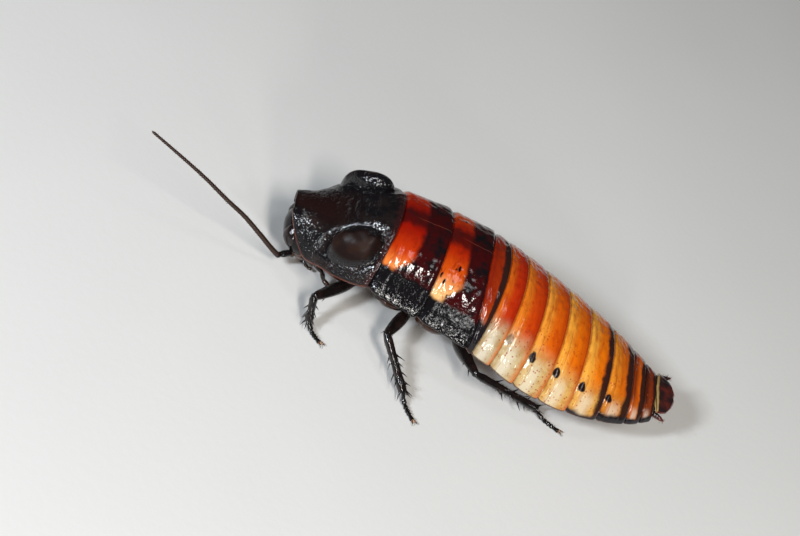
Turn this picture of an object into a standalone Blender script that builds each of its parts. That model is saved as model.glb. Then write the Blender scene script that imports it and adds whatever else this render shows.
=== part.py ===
"""Adult male Madagascar hissing cockroach: a still, life-size museum model.

The head points to -Y, the animal's left side is +X and the feet stand on the floor.
Sizes are in millimetres while the pieces are made. The last step turns them into
metres and puts the origin under the middle of the whole model.
"""

import math
import random

import bmesh
import bpy
from mathutils import Vector

MM = 0.001
GAP = 0.3
SEED = 7

# The trunk's shape at chosen places along its length: place, half width, height of the
# side edge, height of the back, height of the belly, and how far the corners of a plate's
# rear margin lie behind its middle.
PLACE, HALF_WIDTH, EDGE, CROWN, BELLY, SWEEP = range(6)
TRUNK = (
    (-34.0, 9.6, 10.4, 17.5, 6.8, -0.6),
    (-26.6, 10.5, 10.6, 18.0, 6.6, -0.55),
    (-18.8, 11.4, 10.5, 18.6, 6.2, 0.3),
    (-11.7, 11.8, 10.0, 18.5, 5.2, 2.1),
    (-8.2, 11.95, 9.6, 18.05, 4.8, -0.4),
    (-4.8, 12.1, 9.1, 17.4, 4.4, -0.4),
    (-0.4, 12.4, 8.2, 16.2, 3.8, -0.2),
    (4.2, 12.2, 7.5, 15.1, 3.3, 0.0),
    (8.9, 11.5, 7.1, 13.9, 3.1, 0.4),
    (14.0, 10.0, 6.9, 12.6, 3.3, 0.8),
    (18.7, 7.9, 6.9, 11.1, 3.8, 1.2),
    (21.3, 6.4, 7.0, 10.4, 4.3, 1.2),
    (23.6, 5.0, 7.2, 9.9, 4.9, 0.9),
    (28.0, 3.6, 7.8, 9.6, 6.5, 0.4),
)
# The pronotum has a shape of its own: a hood over the head with an upturned front rim.
HOOD = (
    (-41.1, 2.3, 10.2, 10.6, 0.0, 0.0),
    (-40.6, 3.1, 9.5, 10.7, 0.0, 0.0),
    (-39.7, 4.1, 8.5, 11.3, 0.0, 0.0),
    (-38.4, 5.4, 7.4, 11.6, 0.0, 0.0),
    (-36.9, 7.0, 7.0, 12.1, 0.0, 0.0),
    (-34.7, 8.9, 8.6, 13.0, 0.0, -0.1),
    (-32.3, 10.0, 9.3, 14.9, 0.0, -0.3),
    (-29.4, 10.5, 10.0, 17.2, 0.0, -0.5),
    (-26.6, 10.5, 10.6, 18.0, 0.0, -0.55),
)
# Rear margin of each plate on the midline, from head to tail.
PRONOTUM_FRONT = -41.1
PRONOTUM_REAR = -26.6
MESONOTUM_REAR = -18.8
METANOTUM_REAR = -11.7
ABDOMEN_REARS = (-8.2, -4.8, -0.4, 4.2, 8.9, 14.0, 18.7, 21.3, 23.6)

ARCH = 0.625
HOLLOW_ARCH = 0.85
BELLY_ARCH = 0.75
PLATE = 1.0
RIM = 0.7
LIP = 0.15
TUCK = 0.3
# A plate's back rises from its tucked front edge to its lip, quickly at first.
LIP_RISE = 0.7
PLATE_COLUMNS = 8

# The pronotum and the head are turned a little to the animal's left: their left side lies
# further back by this share of the distance from the midline.
TURN = 0.06
TURN_START = -26.6
TURN_END = -30.5
# The front of the pronotum is boxier than its rear margin.
HOOD_ARCH = 0.55
HOOD_ARCH_START = -33.0

# The horns are blunt: steep in front, where they lean forward, and rounder elsewhere.
HORN_X = 6.9
HORN_Y = -31.3
HORN_HALF_WIDTH = 2.5
HORN_HALF_LENGTH = 3.5
HORN_HEIGHT = 1.95
HORN_LEAN = 0.45
HORN_ROUNDNESS = 3.0
HORN_STEEP_FRONT = 2.7
HORN_TILT = 0.3
HORN_SIDES = 20
HORN_SHARES = (0.95, 0.84, 0.62, 0.3)
TROUGH_DEPTH = 0.4
TROUGH_WIDTH = 0.35
# The trough's deepest line runs just outside the horn's own outline.
TROUGH_PLACE = 1.05
# The hood is thicker along its middle than the other thorax plates.
HOOD_THICKENING = 0.4

TRUNK_CORE_WIDTH = 0.78
CORE_RISE = 2.8
CORE_MIN_HEIGHT = 0.8
CORE_CLEARANCE = 0.15
PROTHORAX_FRONT = -34.6
# A block as wide as the undersides of the thorax, for cutting the leg roots clear of them.
CUTTER_HALF_WIDTH = 10
CUTTER_TOP = 16
CUTTER_REACH = 2
THORAX_HALF_WIDTH = 11

# Head rings from the crown of the head down to the mouth: height, place, half width, half depth.
HEAD = (
    (9.0, -37.8, 1.2, 0.9),
    (8.5, -37.9, 2.2, 1.7),
    (7.3, -38.1, 3.2, 2.4),
    (6.0, -38.2, 3.8, 2.6),
    (4.6, -37.9, 3.8, 2.5),
    (3.3, -37.3, 3.3, 2.2),
    (2.3, -36.6, 2.7, 1.8),
    (1.5, -36.0, 2.0, 1.4),
    (1.0, -35.8, 1.2, 0.9),
)
HEAD_SIDES = 24
EYE_ANGLE = 34
EYE_SPREAD = 25
EYE_HEIGHT = 6.1
EYE_HALF_HEIGHT = 1.9
EYE_BULGE = 0.45
EYE_RIM = 0.1

SCAPE_RADIUS = 0.55
SCAPE_THICKNESS = (0.9, 1.0, 0.85)
FEELER_RADIUS = 0.42
FEELER_END_RADIUS = 0.2
FEELER_SIDES = 8
FEELER_TIP = 0.6
FEELER_POINT_GAP = 0.2
LEFT_FEELER = (
    (2.4, -36.9, 3.1), (4.5, -39.5, 2.7), (5.0, -41.2, 4.0), (5.5, -43.4, 5.7),
    (6.0, -47.0, 8.1), (6.9, -50.6, 10.3), (7.7, -56.0, 13.3), (9.0, -64.7, 17.4),
)
RIGHT_FEELER = (
    (-2.4, -36.9, 3.1), (-4.6, -39.2, 2.5), (-6.5, -38.4, 1.7), (-8.3, -35.6, 1.3),
    (-8.9, -31.5, 1.2), (-8.8, -26.5, 1.6), (-9.6, -21.0, 1.7), (-10.4, -14.5, 1.3),
)
FEELER_CUTS = (0.36, 0.68)

# Leg joints on the left side: hip, trochanter, knee, ankle and toe.
LEFT_LEGS = {
    "fore": (
        (6.2, -33.4, 7.4), (3.0, -26.6, 4.7), (11.4, -32.8, 5.0),
        (12.8, -31.6, 1.4), (14.7, -28.9, 0.25),
    ),
    "mid": (
        (6.9, -24.4, 7.4), (2.9, -17.2, 4.4), (11.6, -20.5, 5.0),
        (17.5, -14.7, 1.4), (20.6, -12.0, 0.25),
    ),
    "hind": (
        (7.1, -17.0, 7.0), (2.8, -9.6, 3.5), (11.4, -5.4, 5.6),
        (8.0, 7.4, 1.4), (9.2, 12.2, 0.25),
    ),
}
RIGHT_LEGS = {
    "fore": (
        (-6.2, -33.4, 7.4), (-3.0, -26.6, 4.7), (-9.9, -31.0, 4.8),
        (-11.5, -31.0, 1.4), (-13.2, -28.4, 0.25),
    ),
    "mid": (
        (-6.9, -24.4, 7.4), (-2.9, -17.2, 4.4), (-12.0, -19.6, 5.1),
        (-16.9, -13.4, 1.4), (-18.7, -10.0, 0.25),
    ),
    "hind": (
        (-7.1, -17.0, 7.0), (-2.8, -9.6, 3.5), (-11.7, -4.6, 5.7),
        (-12.4, 8.4, 1.4), (-13.9, 12.8, 0.25),
    ),
}
FEMUR_HALF_DEPTH = {"fore": 1.05, "mid": 1.15, "hind": 1.25}
TIBIA_RADIUS = {"fore": 0.6, "mid": 0.66, "hind": 0.68}
SPINE_COUNT = {"fore": 8, "mid": 12, "hind": 16}
SPINE_LENGTH = 1.7
SPINE_RADIUS = 0.27
SPINE_SIDES = 5
SPINE_FLOOR = 0.5
# The spines stand from this share of the tibia on, closer together towards the ankle,
# each turned round it from the one before and pointing outwards and on to the ankle.
SPINE_START = 0.22
SPINE_STRETCH = 0.74
SPINE_CROWDING = 0.8
SPINE_TURN = 2.4
SPINE_TURN_SCATTER = 0.25
SPINE_OUTWARD = 0.9
SPINE_ONWARD = 0.75
SPINE_LENGTH_SPREAD = (0.8, 1.15)
SPINE_LEVELLING = 0.4
LEG_SIDES = 10
# Half width and half height along each leg piece, at the given shares of its length.
COXA_SHARES = (-0.05, 0.12, 0.4, 0.75, 1.0)
COXA_SIZES = ((1.5, 1.0), (2.2, 1.4), (2.3, 1.45), (1.6, 1.15), (0.9, 0.8))
FEMUR_SHARES = (0.0, 0.12, 0.35, 0.65, 0.88, 1.0)
FEMUR_HALF_WIDTHS = (0.7, 0.75, 0.9, 0.94, 0.84, 0.7)
FEMUR_END_DEPTHS = ((0.7, 0.75), (0.75, 0.65))
FEMUR_DROP = 0.6
TIBIA_SHARES = (-0.02, 0.12, 0.5, 0.85, 1.0)
TIBIA_THICKNESS = (0.9, 1.0, 0.95, 1.05, 0.85)
TIBIA_TILT = 0.2
TARSUS_RADIUS = 0.45
TARSUS_PADS = 5
TARSUS_WAIST = 0.72
TARSUS_ROOT = 0.8
# A curve this steep brings the foot down from the ankle and then along the floor.
TARSUS_FALL = 4
CLAW_LENGTH = 1.3
CLAW_RADIUS = 0.22
CLAW_SPREAD = 0.45
CLAW_RISE = 0.12
CLAW_SUNK = 0.3
CLAW_ROOT_HEIGHT = 0.05

LEFT_PALP = ((2.0, -36.0, 2.3), (3.2, -34.3, 3.2), (3.7, -32.4, 3.0), (3.8, -31.2, 1.6), (3.9, -30.0, 1.1))
PALP_RADIUS = 0.33
PALP_THICKNESS = 0.85
PALP_SWELLING = 0.25

NECK_PATH = ((0, -36.2, 6.8), (0, -35.0, 7.8), (0, -33.6, 8.8))
NECK_SIZES = ((2.0, 1.3), (2.1, 1.4), (2.2, 1.5))
NECK_SIDES = 12
NECK_CORE_REAR = -30

CERCUS_LEFT = ((2.7, 22.8, 7.5), (4.5, 26.6, 7.9))
CERCUS_RIGHT = ((-2.8, 22.9, 7.8), (-4.7, 27.2, 8.6))
CERCUS_RADIUS = 0.62
CERCUS_SHARES = (0, 0.3, 0.6, 0.85, 1)
CERCUS_THICKNESS = (0.8, 1, 0.85, 0.6, 0.3)
# The plate of the ninth ring that reaches back under the supra-anal plate.
TAIL_REACH = 2.6
TAIL_STEP = 0.1
TAIL_SWEEP = 0.9
TAIL_SWEEP_FALL = 1.6
TAIL_HALF_WIDTH = 4.5
TAIL_NARROWING = 1.8
TAIL_EDGE = 7.2
TAIL_CROWN = 8.3
TAIL_MIN_HEIGHT = 0.6
SUPRA_ANAL_REAR = 27.6
SUPRA_ANAL_HALF_WIDTH = 4.1
SUPRA_ANAL_EDGE = 8.9
SUPRA_ANAL_CROWN = 10.0
SUPRA_ANAL_FRONT_SWEEP = 0.9
SUPRA_ANAL_REAR_SWEEP = -1.1
SUPRA_ANAL_NARROWING = 0.8
SUPRA_ANAL_EDGE_FALL = 0.1
SUPRA_ANAL_CROWN_FALL = 0.4
SUPRA_ANAL_EDGE_THICKNESS = 0.4
SUPRA_ANAL_THICKNESS = 1.1

BLACK = (0.012, 0.009, 0.010)
DARK_BROWN = (0.045, 0.014, 0.008)
DEEP_RED = (0.30, 0.035, 0.010)
ORANGE = (0.62, 0.17, 0.025)
AMBER = (0.66, 0.26, 0.055)


def read_profile(table, place, column):
    """Value of one column at a place, on a smooth curve through the table's rows."""
    if place <= table[0][PLACE]:
        return table[0][column]
    if place >= table[-1][PLACE]:
        return table[-1][column]
    index = 0
    while place > table[index + 1][PLACE]:
        index += 1

    def slope(row):
        low = table[max(row - 1, 0)]
        high = table[min(row + 1, len(table) - 1)]
        return (high[column] - low[column]) / (high[PLACE] - low[PLACE])

    start = table[index]
    end = table[index + 1]
    span = end[PLACE] - start[PLACE]
    u = (place - start[PLACE]) / span
    return (
        (2 * u**3 - 3 * u**2 + 1) * start[column]
        + (u**3 - 2 * u**2 + u) * span * slope(index)
        + (3 * u**2 - 2 * u**3) * end[column]
        + (u**3 - u**2) * span * slope(index + 1)
    )


def smooth_path(points, steps):
    """Points on a smooth curve through the given ones, with some steps in each span."""
    points = [Vector(point) for point in points]
    path = []
    for index in range(len(points) - 1):
        before = points[max(index - 1, 0)]
        start = points[index]
        end = points[index + 1]
        after = points[min(index + 2, len(points) - 1)]
        for step in range(steps):
            u = step / steps
            path.append(
                0.5 * (2 * start + (end - before) * u
                       + (2 * before - 5 * start + 4 * end - after) * u * u
                       + (3 * start - before - 3 * end + after) * u**3)
            )
    path.append(points[-1])
    return path


def make_material(name, colour, roughness):
    """Plain glossy finish for one piece."""
    material = bpy.data.materials.new(name)
    material.use_nodes = True
    shader = material.node_tree.nodes["Principled BSDF"]
    shader.inputs["Base Color"].default_value = (*colour, 1.0)
    shader.inputs["Roughness"].default_value = roughness
    shader.inputs["Metallic"].default_value = 0.0
    return material


def make_object(name, mesh, colour=BLACK, roughness=0.3):
    """Object with its own material and smooth shading."""
    bmesh.ops.recalc_face_normals(mesh, faces=mesh.faces)
    data = bpy.data.meshes.new(name)
    mesh.to_mesh(data)
    mesh.free()
    data.materials.append(make_material(name, colour, roughness))
    data.shade_smooth()
    data.set_sharp_from_angle(angle=math.radians(40))
    piece = bpy.data.objects.new(name, data)
    bpy.context.scene.collection.objects.link(piece)
    return piece


def slab_mesh(rows, columns, place):
    """Closed solid between an upper and a lower sheet.

    place(s, t) gives x, y, upper z and lower z, with s from 0 in front to 1 behind
    and t from -1 on the right side to 1 on the left.
    """
    mesh = bmesh.new()
    upper = []
    lower = []
    for row in rows:
        upper_row = []
        lower_row = []
        for column in range(-columns, columns + 1):
            t = math.sin(0.5 * math.pi * column / columns)
            x, y, high, low = place(row, t)
            upper_row.append(mesh.verts.new((x, y, high)))
            lower_row.append(mesh.verts.new((x, y, low)))
        upper.append(upper_row)
        lower.append(lower_row)
    last = len(rows) - 1
    width = 2 * columns
    for i in range(last):
        for j in range(width):
            mesh.faces.new((upper[i][j], upper[i][j + 1], upper[i + 1][j + 1], upper[i + 1][j]))
            mesh.faces.new((lower[i][j], lower[i + 1][j], lower[i + 1][j + 1], lower[i][j + 1]))
        for j in (0, width):
            mesh.faces.new((upper[i][j], upper[i + 1][j], lower[i + 1][j], lower[i][j]))
    for i in (0, last):
        for j in range(width):
            mesh.faces.new((upper[i][j], lower[i][j], lower[i][j + 1], upper[i][j + 1]))
    return mesh


def tube_mesh(path, sizes, sides, across=Vector((0, 0, 1)), floor=None):
    """Closed tube along a path. Each size is a half width and a half height.

    across is the direction that the first ring's height follows. Nothing goes below floor.
    """
    mesh = bmesh.new()
    path = [Vector(point) for point in path]
    rings = []
    height_way = Vector(across)
    for index, centre in enumerate(path):
        tangent = path[min(index + 1, len(path) - 1)] - path[max(index - 1, 0)]
        tangent.normalize()
        height_way = (height_way - tangent * height_way.dot(tangent)).normalized()
        width_way = tangent.cross(height_way)
        half_width, half_height = sizes[index]
        ring = []
        for side in range(sides):
            angle = 2 * math.pi * (side + 0.5) / sides
            point = centre + width_way * (half_width * math.cos(angle))
            point += height_way * (half_height * math.sin(angle))
            if floor is not None:
                point.z = max(point.z, floor)
            ring.append(mesh.verts.new(point))
        rings.append(ring)
    for ring, following in zip(rings, rings[1:]):
        for side in range(sides):
            beside = (side + 1) % sides
            mesh.faces.new((ring[side], ring[beside], following[beside], following[side]))
    mesh.faces.new(rings[0])
    mesh.faces.new(reversed(rings[-1]))
    return mesh


def grown_tube(path, sizes, sides, across=Vector((0, 0, 1))):
    """The same tube, larger by the gap all round, for cutting a neighbour clear of it."""
    path = [Vector(point) for point in path]
    path[0] = path[0] - (path[1] - path[0]).normalized() * GAP
    path[-1] = path[-1] + (path[-1] - path[-2]).normalized() * GAP
    return tube_mesh(path, [(width + GAP, height + GAP) for width, height in sizes], sides, across)


def bake(piece):
    """Replace the piece's mesh by its evaluated one and drop the modifiers."""
    evaluated = piece.evaluated_get(bpy.context.evaluated_depsgraph_get())
    data = bpy.data.meshes.new_from_object(evaluated)
    piece.modifiers.clear()
    piece.data = data


def keep_largest_surface(piece):
    """Drop every closed surface but the largest."""
    mesh = bmesh.new()
    mesh.from_mesh(piece.data)
    unseen = set(mesh.faces)
    islands = []
    while unseen:
        island = set()
        front = [unseen.pop()]
        while front:
            face = front.pop()
            island.add(face)
            for edge in face.edges:
                for beside in edge.link_faces:
                    if beside in unseen:
                        unseen.remove(beside)
                        front.append(beside)
        islands.append(island)
    islands.sort(key=lambda island: sum(face.calc_area() for face in island))
    scraps = [face for island in islands[:-1] for face in island]
    bmesh.ops.delete(mesh, geom=scraps, context="FACES")
    mesh.to_mesh(piece.data)
    mesh.free()


def cut_clear(piece, cutter_meshes):
    """Cut the piece clear of its neighbours by the grown solids of those neighbours."""
    for mesh in cutter_meshes:
        cutter = make_object("cutter", mesh)
        cutter.hide_render = True
        cutter.display_type = "WIRE"
        modifier = piece.modifiers.new("Cut", "BOOLEAN")
        modifier.operation = "DIFFERENCE"
        modifier.object = cutter
        bake(piece)
        bpy.data.objects.remove(cutter)
    keep_largest_surface(piece)


def fuse(piece, meshes):
    """Fuse closed meshes onto the piece with one Boolean union."""
    group = bpy.data.collections.new("fused")
    bpy.context.scene.collection.children.link(group)
    for mesh in meshes:
        part = make_object("fused_part", mesh)
        bpy.context.scene.collection.objects.unlink(part)
        group.objects.link(part)
    modifier = piece.modifiers.new("Fuse", "BOOLEAN")
    modifier.operation = "UNION"
    modifier.operand_type = "COLLECTION"
    modifier.collection = group
    bake(piece)
    for part in list(group.objects):
        bpy.data.objects.remove(part)
    bpy.data.collections.remove(group)
    keep_largest_surface(piece)


def arch_height(edge, crown, t, power):
    """Height of an arched section at the share t of its half width."""
    return edge + (crown - edge) * max(1 - t * t, 0.0) ** power


def belly_height(place, t):
    """Height of the underside of the abdomen."""
    edge = read_profile(TRUNK, place, EDGE) - RIM
    return arch_height(edge, read_profile(TRUNK, place, BELLY), t, BELLY_ARCH)


def margin(place, t):
    """Place of a plate's rear margin at the share t of the half width."""
    return place + read_profile(TRUNK, place, SWEEP) * t * t


def plate_place(front, rear, s, t):
    """Midline place, real place and lip of a plate's point."""
    middle = front + (rear - front) * s
    y = margin(front, t) * (1 - s) + margin(rear, t) * s
    lift = -TUCK + (TUCK + LIP) * s ** LIP_RISE
    return middle, y, lift


def abdomen_segment(number, front, rear, colour):
    """One ring of the abdomen, its back plate and belly plate together."""
    def place(s, t):
        middle, y, lift = plate_place(front, rear, s, t)
        half_width = read_profile(TRUNK, middle, HALF_WIDTH) + lift
        edge = read_profile(TRUNK, middle, EDGE)
        crown = read_profile(TRUNK, middle, CROWN) + lift
        high = arch_height(edge, crown, t, ARCH)
        return half_width * t, y + GAP * (1 - s), high, belly_height(middle, t)

    mesh = slab_mesh((0, 0.3, 0.65, 1), PLATE_COLUMNS, place)
    return make_object(f"abdomen_segment_{number}", mesh, colour)


def last_segment_mesh(front, rear, growth=0.0):
    """The ninth ring, with the plate that reaches back under the supra-anal plate."""
    def place(s, t):
        if s <= 1:
            middle, y, lift = plate_place(front, rear, s, t)
            y += GAP * (1 - s)
            top = arch_height(
                read_profile(TRUNK, middle, EDGE), read_profile(TRUNK, middle, CROWN) + lift, t, ARCH)
            half_width = read_profile(TRUNK, middle, HALF_WIDTH) + lift
        else:
            middle = rear + TAIL_STEP + TAIL_REACH * (s - 1)
            y = middle + (TAIL_SWEEP - TAIL_SWEEP_FALL * (s - 1)) * t * t
            top = arch_height(TAIL_EDGE, TAIL_CROWN, t, ARCH)
            half_width = TAIL_HALF_WIDTH - TAIL_NARROWING * (s - 1)
        low = min(belly_height(middle, t), top - TAIL_MIN_HEIGHT)
        shift = growth if s >= 1 else -growth
        return (half_width + growth) * t, y + shift, top + growth, low - growth

    return slab_mesh((0, 0.5, 1, 1.001, 1.5, 2), PLATE_COLUMNS, place)


def supra_anal_mesh(growth=0.0):
    """The flat squarish plate at the tail end."""
    front = ABDOMEN_REARS[-1] + GAP

    def place(s, t):
        sweep = SUPRA_ANAL_FRONT_SWEEP * (1 - s) + SUPRA_ANAL_REAR_SWEEP * s
        y = front + (SUPRA_ANAL_REAR - front) * s + sweep * t * t
        half_width = SUPRA_ANAL_HALF_WIDTH - SUPRA_ANAL_NARROWING * s * s
        edge = SUPRA_ANAL_EDGE - SUPRA_ANAL_EDGE_FALL * s
        crown = SUPRA_ANAL_CROWN - SUPRA_ANAL_CROWN_FALL * s
        high = arch_height(edge, crown, t, ARCH) + growth
        low = arch_height(edge - SUPRA_ANAL_EDGE_THICKNESS, crown - SUPRA_ANAL_THICKNESS, t, ARCH) - growth
        return (half_width + growth) * t, y + growth * (2 * s - 1), high, low

    return slab_mesh((0, 0.35, 0.7, 1), PLATE_COLUMNS, place)


def back_plate(name, front, rear, colour):
    """A thorax plate: an arched shell with free side edges."""
    def place(s, t):
        middle, y, lift = plate_place(front, rear, s, t)
        half_width = read_profile(TRUNK, middle, HALF_WIDTH) + lift
        edge = read_profile(TRUNK, middle, EDGE)
        crown = read_profile(TRUNK, middle, CROWN) + lift
        top = arch_height(edge, crown, t, ARCH)
        return half_width * t, y + GAP * (1 - s), top, arch_height(edge - RIM, crown - PLATE, t, HOLLOW_ARCH)

    return make_object(name, slab_mesh((0, 0.2, 0.45, 0.75, 1), PLATE_COLUMNS, place), colour)


def turned(x, y):
    """Place of a point of the pronotum or the head once they are turned to the left."""
    share = max(0.0, min(1.0, (y - TURN_START) / (TURN_END - TURN_START)))
    return y + TURN * x * share * share * (3 - 2 * share)


def hood_arch(place):
    """Roundness of the pronotum's section at a place."""
    share = max(0.0, min(1.0, (place - HOOD_ARCH_START) / (PRONOTUM_REAR - HOOD_ARCH_START)))
    return HOOD_ARCH + (ARCH - HOOD_ARCH) * share


def horn_distance(x, y):
    """Distance from the nearer horn's middle, as a share of the horn's size."""
    return math.hypot((abs(x) - HORN_X) / HORN_HALF_WIDTH, (y - HORN_Y) / HORN_HALF_LENGTH)


def hood_section(place):
    """Half width, edge and crown of the pronotum at a place."""
    return tuple(read_profile(HOOD, place, column) for column in (HALF_WIDTH, EDGE, CROWN))


def hood_top(x, y):
    """Height of the pronotum's upper face, with a trough round each horn."""
    half_width, edge, crown = hood_section(y)
    t = max(-1.0, min(1.0, x / half_width))
    trough = TROUGH_DEPTH * math.exp(-((horn_distance(x, y) - TROUGH_PLACE) / TROUGH_WIDTH) ** 2)
    return arch_height(edge, crown, t, hood_arch(y)) - trough * (1 - t ** 4)


def hood_bottom(x, y):
    """Height of the pronotum's lower face."""
    half_width, edge, crown = hood_section(y)
    t = max(-1.0, min(1.0, x / half_width))
    return arch_height(edge - RIM, crown - PLATE - HOOD_THICKENING, t, HOLLOW_ARCH)


def pronotum_mesh(growth=0.0):
    """The hood. growth lowers its lower face, for cutting the head clear of it."""
    rows = (0, 0.05, 0.11, 0.19, 0.27, 0.35, 0.43, 0.5, 0.57, 0.64, 0.71, 0.78, 0.86, 0.93, 1)

    def place(s, t):
        middle = PRONOTUM_FRONT + (PRONOTUM_REAR - PRONOTUM_FRONT) * s
        half_width, edge, crown = hood_section(middle)
        x = half_width * t
        y = middle + read_profile(HOOD, middle, SWEEP) * t * t
        return x, turned(x, y), hood_top(x, middle), hood_bottom(x, middle) - growth

    return slab_mesh(rows, PLATE_COLUMNS + 3, place)


def horn(name, side):
    """One blunt horn, seated on the pronotum."""
    mesh = bmesh.new()
    centre_x = side * HORN_X

    def point(share, angle, height):
        x = centre_x + HORN_HALF_WIDTH * share * math.cos(angle)
        y = HORN_Y + HORN_HALF_LENGTH * share * math.sin(angle)
        rearward = math.sin(angle)
        steepness = HORN_ROUNDNESS + HORN_STEEP_FRONT * max(-rearward, 0)
        rise = height * (1 - share ** steepness) ** 0.5 * (1 - HORN_LEAN * share * rearward)
        return (x, turned(x, y) - HORN_TILT * rise, hood_top(x, y) + GAP + rise)

    def ring(share, height):
        angles = (2 * math.pi * k / HORN_SIDES for k in range(HORN_SIDES))
        return [mesh.verts.new(point(share, angle, height)) for angle in angles]

    rim = ring(1, 0)
    for height in (HORN_HEIGHT, 0):
        outer = rim
        for share in HORN_SHARES:
            inner = ring(share, height)
            for k in range(HORN_SIDES):
                after = (k + 1) % HORN_SIDES
                mesh.faces.new((outer[k], outer[after], inner[after], inner[k]))
            outer = inner
        middle = mesh.verts.new(point(0, 0, height))
        for k in range(HORN_SIDES):
            mesh.faces.new((outer[k], outer[(k + 1) % HORN_SIDES], middle))
    return make_object(name, mesh, BLACK, 0.25)


def thorax_core_place(front, rear, table, bottom_of_plate):
    """Placing function of the trunk under a thorax plate."""
    def place(s, t):
        y = front + (rear - front) * s
        half_width = read_profile(table, y, HALF_WIDTH) * TRUNK_CORE_WIDTH
        x = half_width * t
        high = bottom_of_plate(x, y) - GAP
        low = read_profile(TRUNK, y, BELLY) + CORE_RISE * t * t
        if table is HOOD:
            return x, turned(x, y), high, min(low, high - CORE_MIN_HEIGHT)
        return x, y, high, min(low, high - CORE_MIN_HEIGHT)

    return place


def trunk_plate_bottom(x, y):
    """Height of the lower face of the two rear thorax plates."""
    t = x / read_profile(TRUNK, y, HALF_WIDTH)
    edge = read_profile(TRUNK, y, EDGE)
    crown = read_profile(TRUNK, y, CROWN) - TUCK - PLATE
    return arch_height(edge - RIM, crown, t, HOLLOW_ARCH) - CORE_CLEARANCE


def thorax_core(name, front, rear, table, bottom_of_plate):
    """Underside of one thorax segment, which carries a pair of legs."""
    place = thorax_core_place(front, rear, table, bottom_of_plate)
    return make_object(name, slab_mesh((0, 0.33, 0.67, 1), 6, place), DARK_BROWN)


def thorax_cutter():
    """The undersides of the whole thorax, lowered by the gap."""
    def place(s, t):
        y = front + (rear - front) * s
        x = CUTTER_HALF_WIDTH * t
        rise = CORE_RISE * (x / (TRUNK_CORE_WIDTH * THORAX_HALF_WIDTH)) ** 2
        return x, y, CUTTER_TOP, read_profile(TRUNK, y, BELLY) + rise - GAP

    front = PROTHORAX_FRONT - CUTTER_REACH
    rear = METANOTUM_REAR + CUTTER_REACH
    return slab_mesh([k / 10 for k in range(11)], 6, place)


def head_point(angle, height, growth=0.0):
    """Point on the head. The angle turns from the left side towards the front."""
    rows = [(-ring[0], ring[1], ring[2], ring[3]) for ring in HEAD]
    middle, half_width, half_depth = (read_profile(rows, -height, column) for column in (1, 2, 3))
    x = (half_width + growth) * math.cos(angle)
    return Vector((x, middle - (half_depth + growth) * math.sin(angle), height))


def head_mesh(growth=0.0):
    """The head as one closed form."""
    mesh = bmesh.new()
    rings = []
    levels = 14
    top = HEAD[0][0]
    bottom = HEAD[-1][0]
    for level in range(levels + 1):
        share = 0.5 - 0.5 * math.cos(math.pi * level / levels)
        height = top + (bottom - top) * share
        offset = growth * (1 - 2 * share)
        ring = []
        for side in range(HEAD_SIDES):
            point = head_point(2 * math.pi * side / HEAD_SIDES, height, growth)
            point.y = turned(point.x, point.y)
            point.z += offset
            ring.append(mesh.verts.new(point))
        rings.append(ring)
    for ring, following in zip(rings, rings[1:]):
        for side in range(HEAD_SIDES):
            beside = (side + 1) % HEAD_SIDES
            mesh.faces.new((ring[side], ring[beside], following[beside], following[side]))
    mesh.faces.new(rings[0])
    mesh.faces.new(reversed(rings[-1]))
    return mesh


def eye(name, side):
    """One large kidney-shaped eye, seated on the side of the head."""
    mesh = bmesh.new()
    sides = 16
    steps = 4

    def point(share, turn, bulge):
        angle = math.radians(EYE_ANGLE + EYE_SPREAD * share * math.cos(turn))
        height = EYE_HEIGHT + EYE_HALF_HEIGHT * share * math.sin(turn)
        spot = head_point(angle, height, GAP + bulge)
        spot.x *= side
        spot.y = turned(spot.x, spot.y)
        return spot

    def ring(share, bulge):
        return [mesh.verts.new(point(share, 2 * math.pi * k / sides, bulge)) for k in range(sides)]

    rim = ring(1, EYE_RIM)
    for sign in (1, 0):
        outer = rim
        for step in range(steps - 1, 0, -1):
            share = step / steps
            inner = ring(share, sign * (EYE_RIM + EYE_BULGE * math.sqrt(1 - share**2)))
            for k in range(sides):
                after = (k + 1) % sides
                mesh.faces.new((outer[k], outer[after], inner[after], inner[k]))
            outer = inner
        middle = mesh.verts.new(point(0, 0, sign * (EYE_RIM + EYE_BULGE)))
        for k in range(sides):
            mesh.faces.new((outer[k], outer[(k + 1) % sides], middle))
    piece = make_object(name, mesh, BLACK, 0.12)
    cut_clear(piece, [pronotum_mesh(GAP)])


def split_path(path, low, high):
    """The stretch of a path between two shares of its length, shortened by the gap."""
    lengths = [0.0]
    for start, end in zip(path, path[1:]):
        lengths.append(lengths[-1] + (end - start).length)
    total = lengths[-1]
    start = low * total + (GAP / 2 if low > 0 else 0)
    end = high * total - (GAP / 2 if high < 1 else 0)

    def at(distance):
        index = 0
        while index < len(path) - 2 and lengths[index + 1] < distance:
            index += 1
        share = (distance - lengths[index]) / (lengths[index + 1] - lengths[index])
        return path[index].lerp(path[index + 1], share)

    near, far = start + FEELER_POINT_GAP, end - FEELER_POINT_GAP
    inner = [(length, point) for length, point in zip(lengths, path) if near < length < far]
    places = [start] + [length for length, point in inner] + [end]
    points = [at(start)] + [point for length, point in inner] + [at(end)]
    return points, [place / total for place in places]


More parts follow.
